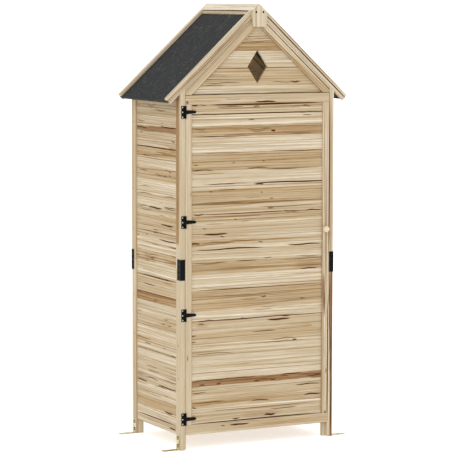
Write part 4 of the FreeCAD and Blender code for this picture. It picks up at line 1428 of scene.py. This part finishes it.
# The lines along each rafter's upper edge (36, 34.5) and lower edge (62.5) are painted shade where it meets
# the pieces above and below; the line at 50 or 57 is grain
RAFTER_STREAKS_AND_SHADOW = {
    -1: marks(
        (250, 62.5, 330, 1.1, 0.2, 0.2), (250, 36, 330, 1, 0.25, 0.2), (300, 50, 150, 0.9, 0.25, 1),
    ),
    1: marks(
        (250, 62.5, 330, 1.1, 0.2, 0.2), (250, 34.5, 330, 1.6, 0.6, 0.2), (200, 57, 240, 1, 0.3, 0.4),
    ),
}
BARGE_STREAKS_AND_SHADOW = {
    -1: marks((290, 15, 230, 1.6, 0.3, 1.5, 0.8)),
    # On the right barge board, the line at 10.6 is a painted shadow in the gap under the felt and cover, and
    # the line at 22 a painted shadow along its lower edge
    1: marks((300, 22, 250, 1.2, 0.45, 0.3), (290, 10.6, 290, 2, 1, 0.1)),
}
VERGE_STREAKS = marks((300, 0.8, 250, 0.9, 0.4, 0.3, 0.3))
# The cap's line at 40.3, along its lower edge, is a painted shadow; the two faint lines are grain
CAP_STREAKS_AND_SHADOW = marks((0, 40.3, 260, 1.3, 0.85, 0.2), (30, 24, 190, 0.9, 0.25, 1), (-60, 13, 150, 0.9, 0.2, 1))
RAIL_STREAKS = {
    "door_top_rail": marks(
        (32, 1398, 48, 2, 1, 0.6), (-320, 1400, 7, 5, 0.5, 0, 0.8), (-115, 1409, 40, 1.2, 0.3),
        (60, 1394, 200, 1.2, 0.3),
    ),
    "door_bottom_rail": marks(
        (-85, 87, 46, 2.2, 1, 0.6), (-100, 87, 16, 2.6, 1, 0.2), (-160, 87, 10, 1.8, 0.6),
        (-60, 97, 220, 1.2, 0.3),
    ),
}
STILE_STREAKS_AND_SHADOW = {
    "left": marks(
        (1035, -305, 3, 3, 0.6, 0), (375, -318, 12, 1.4, 0.6, 0), (746, -300.8, 690, 1, 0.15, 0.2),
    ),
    # On the right stile, the line at 326.5 beside the post is a painted shadow in the gap between stile and
    # post
    "right": marks(
        (948, 314, 1.5, 20, 0.35, 0), (600, 306, 90, 5.5, 0.3, 0, 0.6), (277, 320, 9, 1.6, 0.6, 0),
        (101, 316, 4, 4, 0.6, 0), (746, 300.8, 690, 0.9, 0.15, 0.2), (315, 326.5, 270, 2, 0.7, 0.4),
        (300, 311, 180, 0.9, 0.3, 0.5), (560, 311.5, 60, 1.2, 0.6, 0.5), (1000, 308, 420, 0.9, 0.25, 0.5),
        (1010, 319, 380, 0.9, 0.25, 0.5),
    ),
}


@dataclass
class Studio:
    """A plain pale floor, a white room's soft light, and the camera at the photograph's angle, in metres."""

    camera_at: tuple[float, float, float] = (-4.37165, -8.44231, 1.83018)
    yaw: float = 27.25
    pitch: float = 5.775
    roll: float = 0.093
    lens: float = 182.95
    room: float = 0.92
    key: float = 0.225
    spread: float = 50.0
    key_from: tuple[float, float, float] = (-0.62, -0.66, 0.72)
    loft: float = 0.4
    loft_height: float = 1.45
    loft_size: float = 0.25
    loft_tint: tuple[float, float, float] = (1.0, 0.87, 0.68)
    glow: float = 0.5
    inner_radius: float = 0.4
    rings: int = 7
    turns: int = 96

    def show(self, name: str, data: bpy.types.ID) -> bpy.types.Object:
        """Puts a mesh, a light or a camera into the scene as an object.

        Args:
            name: the object's name.
            data: what it shows.

        Returns:
            The object.
        """
        made = bpy.data.objects.new(name, data)
        bpy.context.scene.collection.objects.link(made)
        return made

    def camera(self) -> None:
        """Sets the camera: forward = (sin yaw cos pitch, cos yaw cos pitch, -sin pitch), rolled about it."""
        yaw, pitch, roll = (math.radians(a) for a in (self.yaw, self.pitch, self.roll))
        ahead = Vector((math.sin(yaw) * math.cos(pitch), math.cos(yaw) * math.cos(pitch), -math.sin(pitch)))
        right = Vector((math.cos(yaw), -math.sin(yaw), 0.0))
        above = right.cross(ahead)
        side = right * math.cos(roll) + above * math.sin(roll)
        top = above * math.cos(roll) - right * math.sin(roll)
        data = bpy.data.cameras.new("camera")
        data.lens, data.sensor_width, data.clip_start, data.clip_end = self.lens, 36.0, 0.1, 4000.0
        made = self.show("camera", data)
        turn = Matrix((side, top, -ahead)).transposed().to_4x4()
        made.matrix_world = Matrix.Translation(self.camera_at) @ turn
        bpy.context.scene.camera = made

    def floor(self) -> None:
        """A round light table: P(r, a) = (r cos a, r sin a, 0), r growing fourfold from ring to ring.

        It glows faintly, so that shadows stay pale. One face closes its middle.
        """
        rings, turns = self.rings, self.turns
        r = (self.inner_radius * 4.0 ** np.arange(rings))[:, None]
        a = np.linspace(0, 2 * np.pi, turns, endpoint=False)
        grid = np.stack([r * np.cos(a), r * np.sin(a), np.full((rings, turns), -0.5 * MM)], -1)
        i = np.arange((rings - 1) * turns).reshape(rings - 1, turns)
        j = np.roll(i, -1, axis=1)
        faces = np.stack([i, i + turns, j + turns, j], -1).reshape(-1, 4).tolist() + [list(range(turns))]
        mesh = bpy.data.meshes.new("studio_floor")
        mesh.from_pydata(grid.reshape(-1, 3), [], faces)
        acrylic = ACRYLIC.material()
        lamp = acrylic.node_tree.nodes["Principled BSDF"]
        lamp.inputs["Emission Color"].default_value = (1.0, 1.0, 1.0, 1.0)
        lamp.inputs["Emission Strength"].default_value = self.glow
        mesh.materials.append(acrylic)
        made = self.show("studio_floor", mesh)
        made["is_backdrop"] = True

    def lights(self) -> None:
        """Sets the white room, the key light and a weak light in the roof space, behind the vent."""
        world = bpy.data.worlds.new("white_room")
        world.use_nodes = True
        sky = world.node_tree.nodes["Background"]
        sky.inputs["Color"].default_value = (1.0, 1.0, 1.0, 1.0)
        sky.inputs["Strength"].default_value = self.room
        bpy.context.scene.world = world
        data = bpy.data.lights.new("key", "SUN")
        data.energy, data.angle = self.key * math.pi, math.radians(self.spread)
        made = self.show("key", data)
        made.rotation_mode = "QUATERNION"
        made.rotation_quaternion = (-Vector(self.key_from)).to_track_quat("-Z", "Y")
        data = bpy.data.lights.new("roof_space", "AREA")
        data.energy, data.size, data.color = self.loft, self.loft_size, self.loft_tint
        made = self.show("roof_space", data)
        turn = Matrix.Rotation(0.75 * math.pi, 4, "X")
        made.matrix_world = Matrix.Translation((0.0, 0.0, self.loft_height)) @ turn

    def build(self) -> None:
        """Sets the lights, the floor and the camera, and keeps the picture's tones as they are."""
        self.lights()
        bpy.context.scene.view_settings.view_transform = "Standard"
        self.floor()
        self.camera()


def corners() -> list[list[float]]:
    """The shown object's box as plain lists."""
    return [list(c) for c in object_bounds()]


def main() -> None:
    """Builds the studio and the sub-assemblies in order."""
    logging.basicConfig(level=logging.INFO, format="%(message)s")
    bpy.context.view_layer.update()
    Studio().build()
    for assembly in (CornerPosts(), Walls(), Gables(), Roof(), Inside(), DoorLeaf(), Ironmongery()):
        assembly.build()


if __name__ == "__main__":
    main()
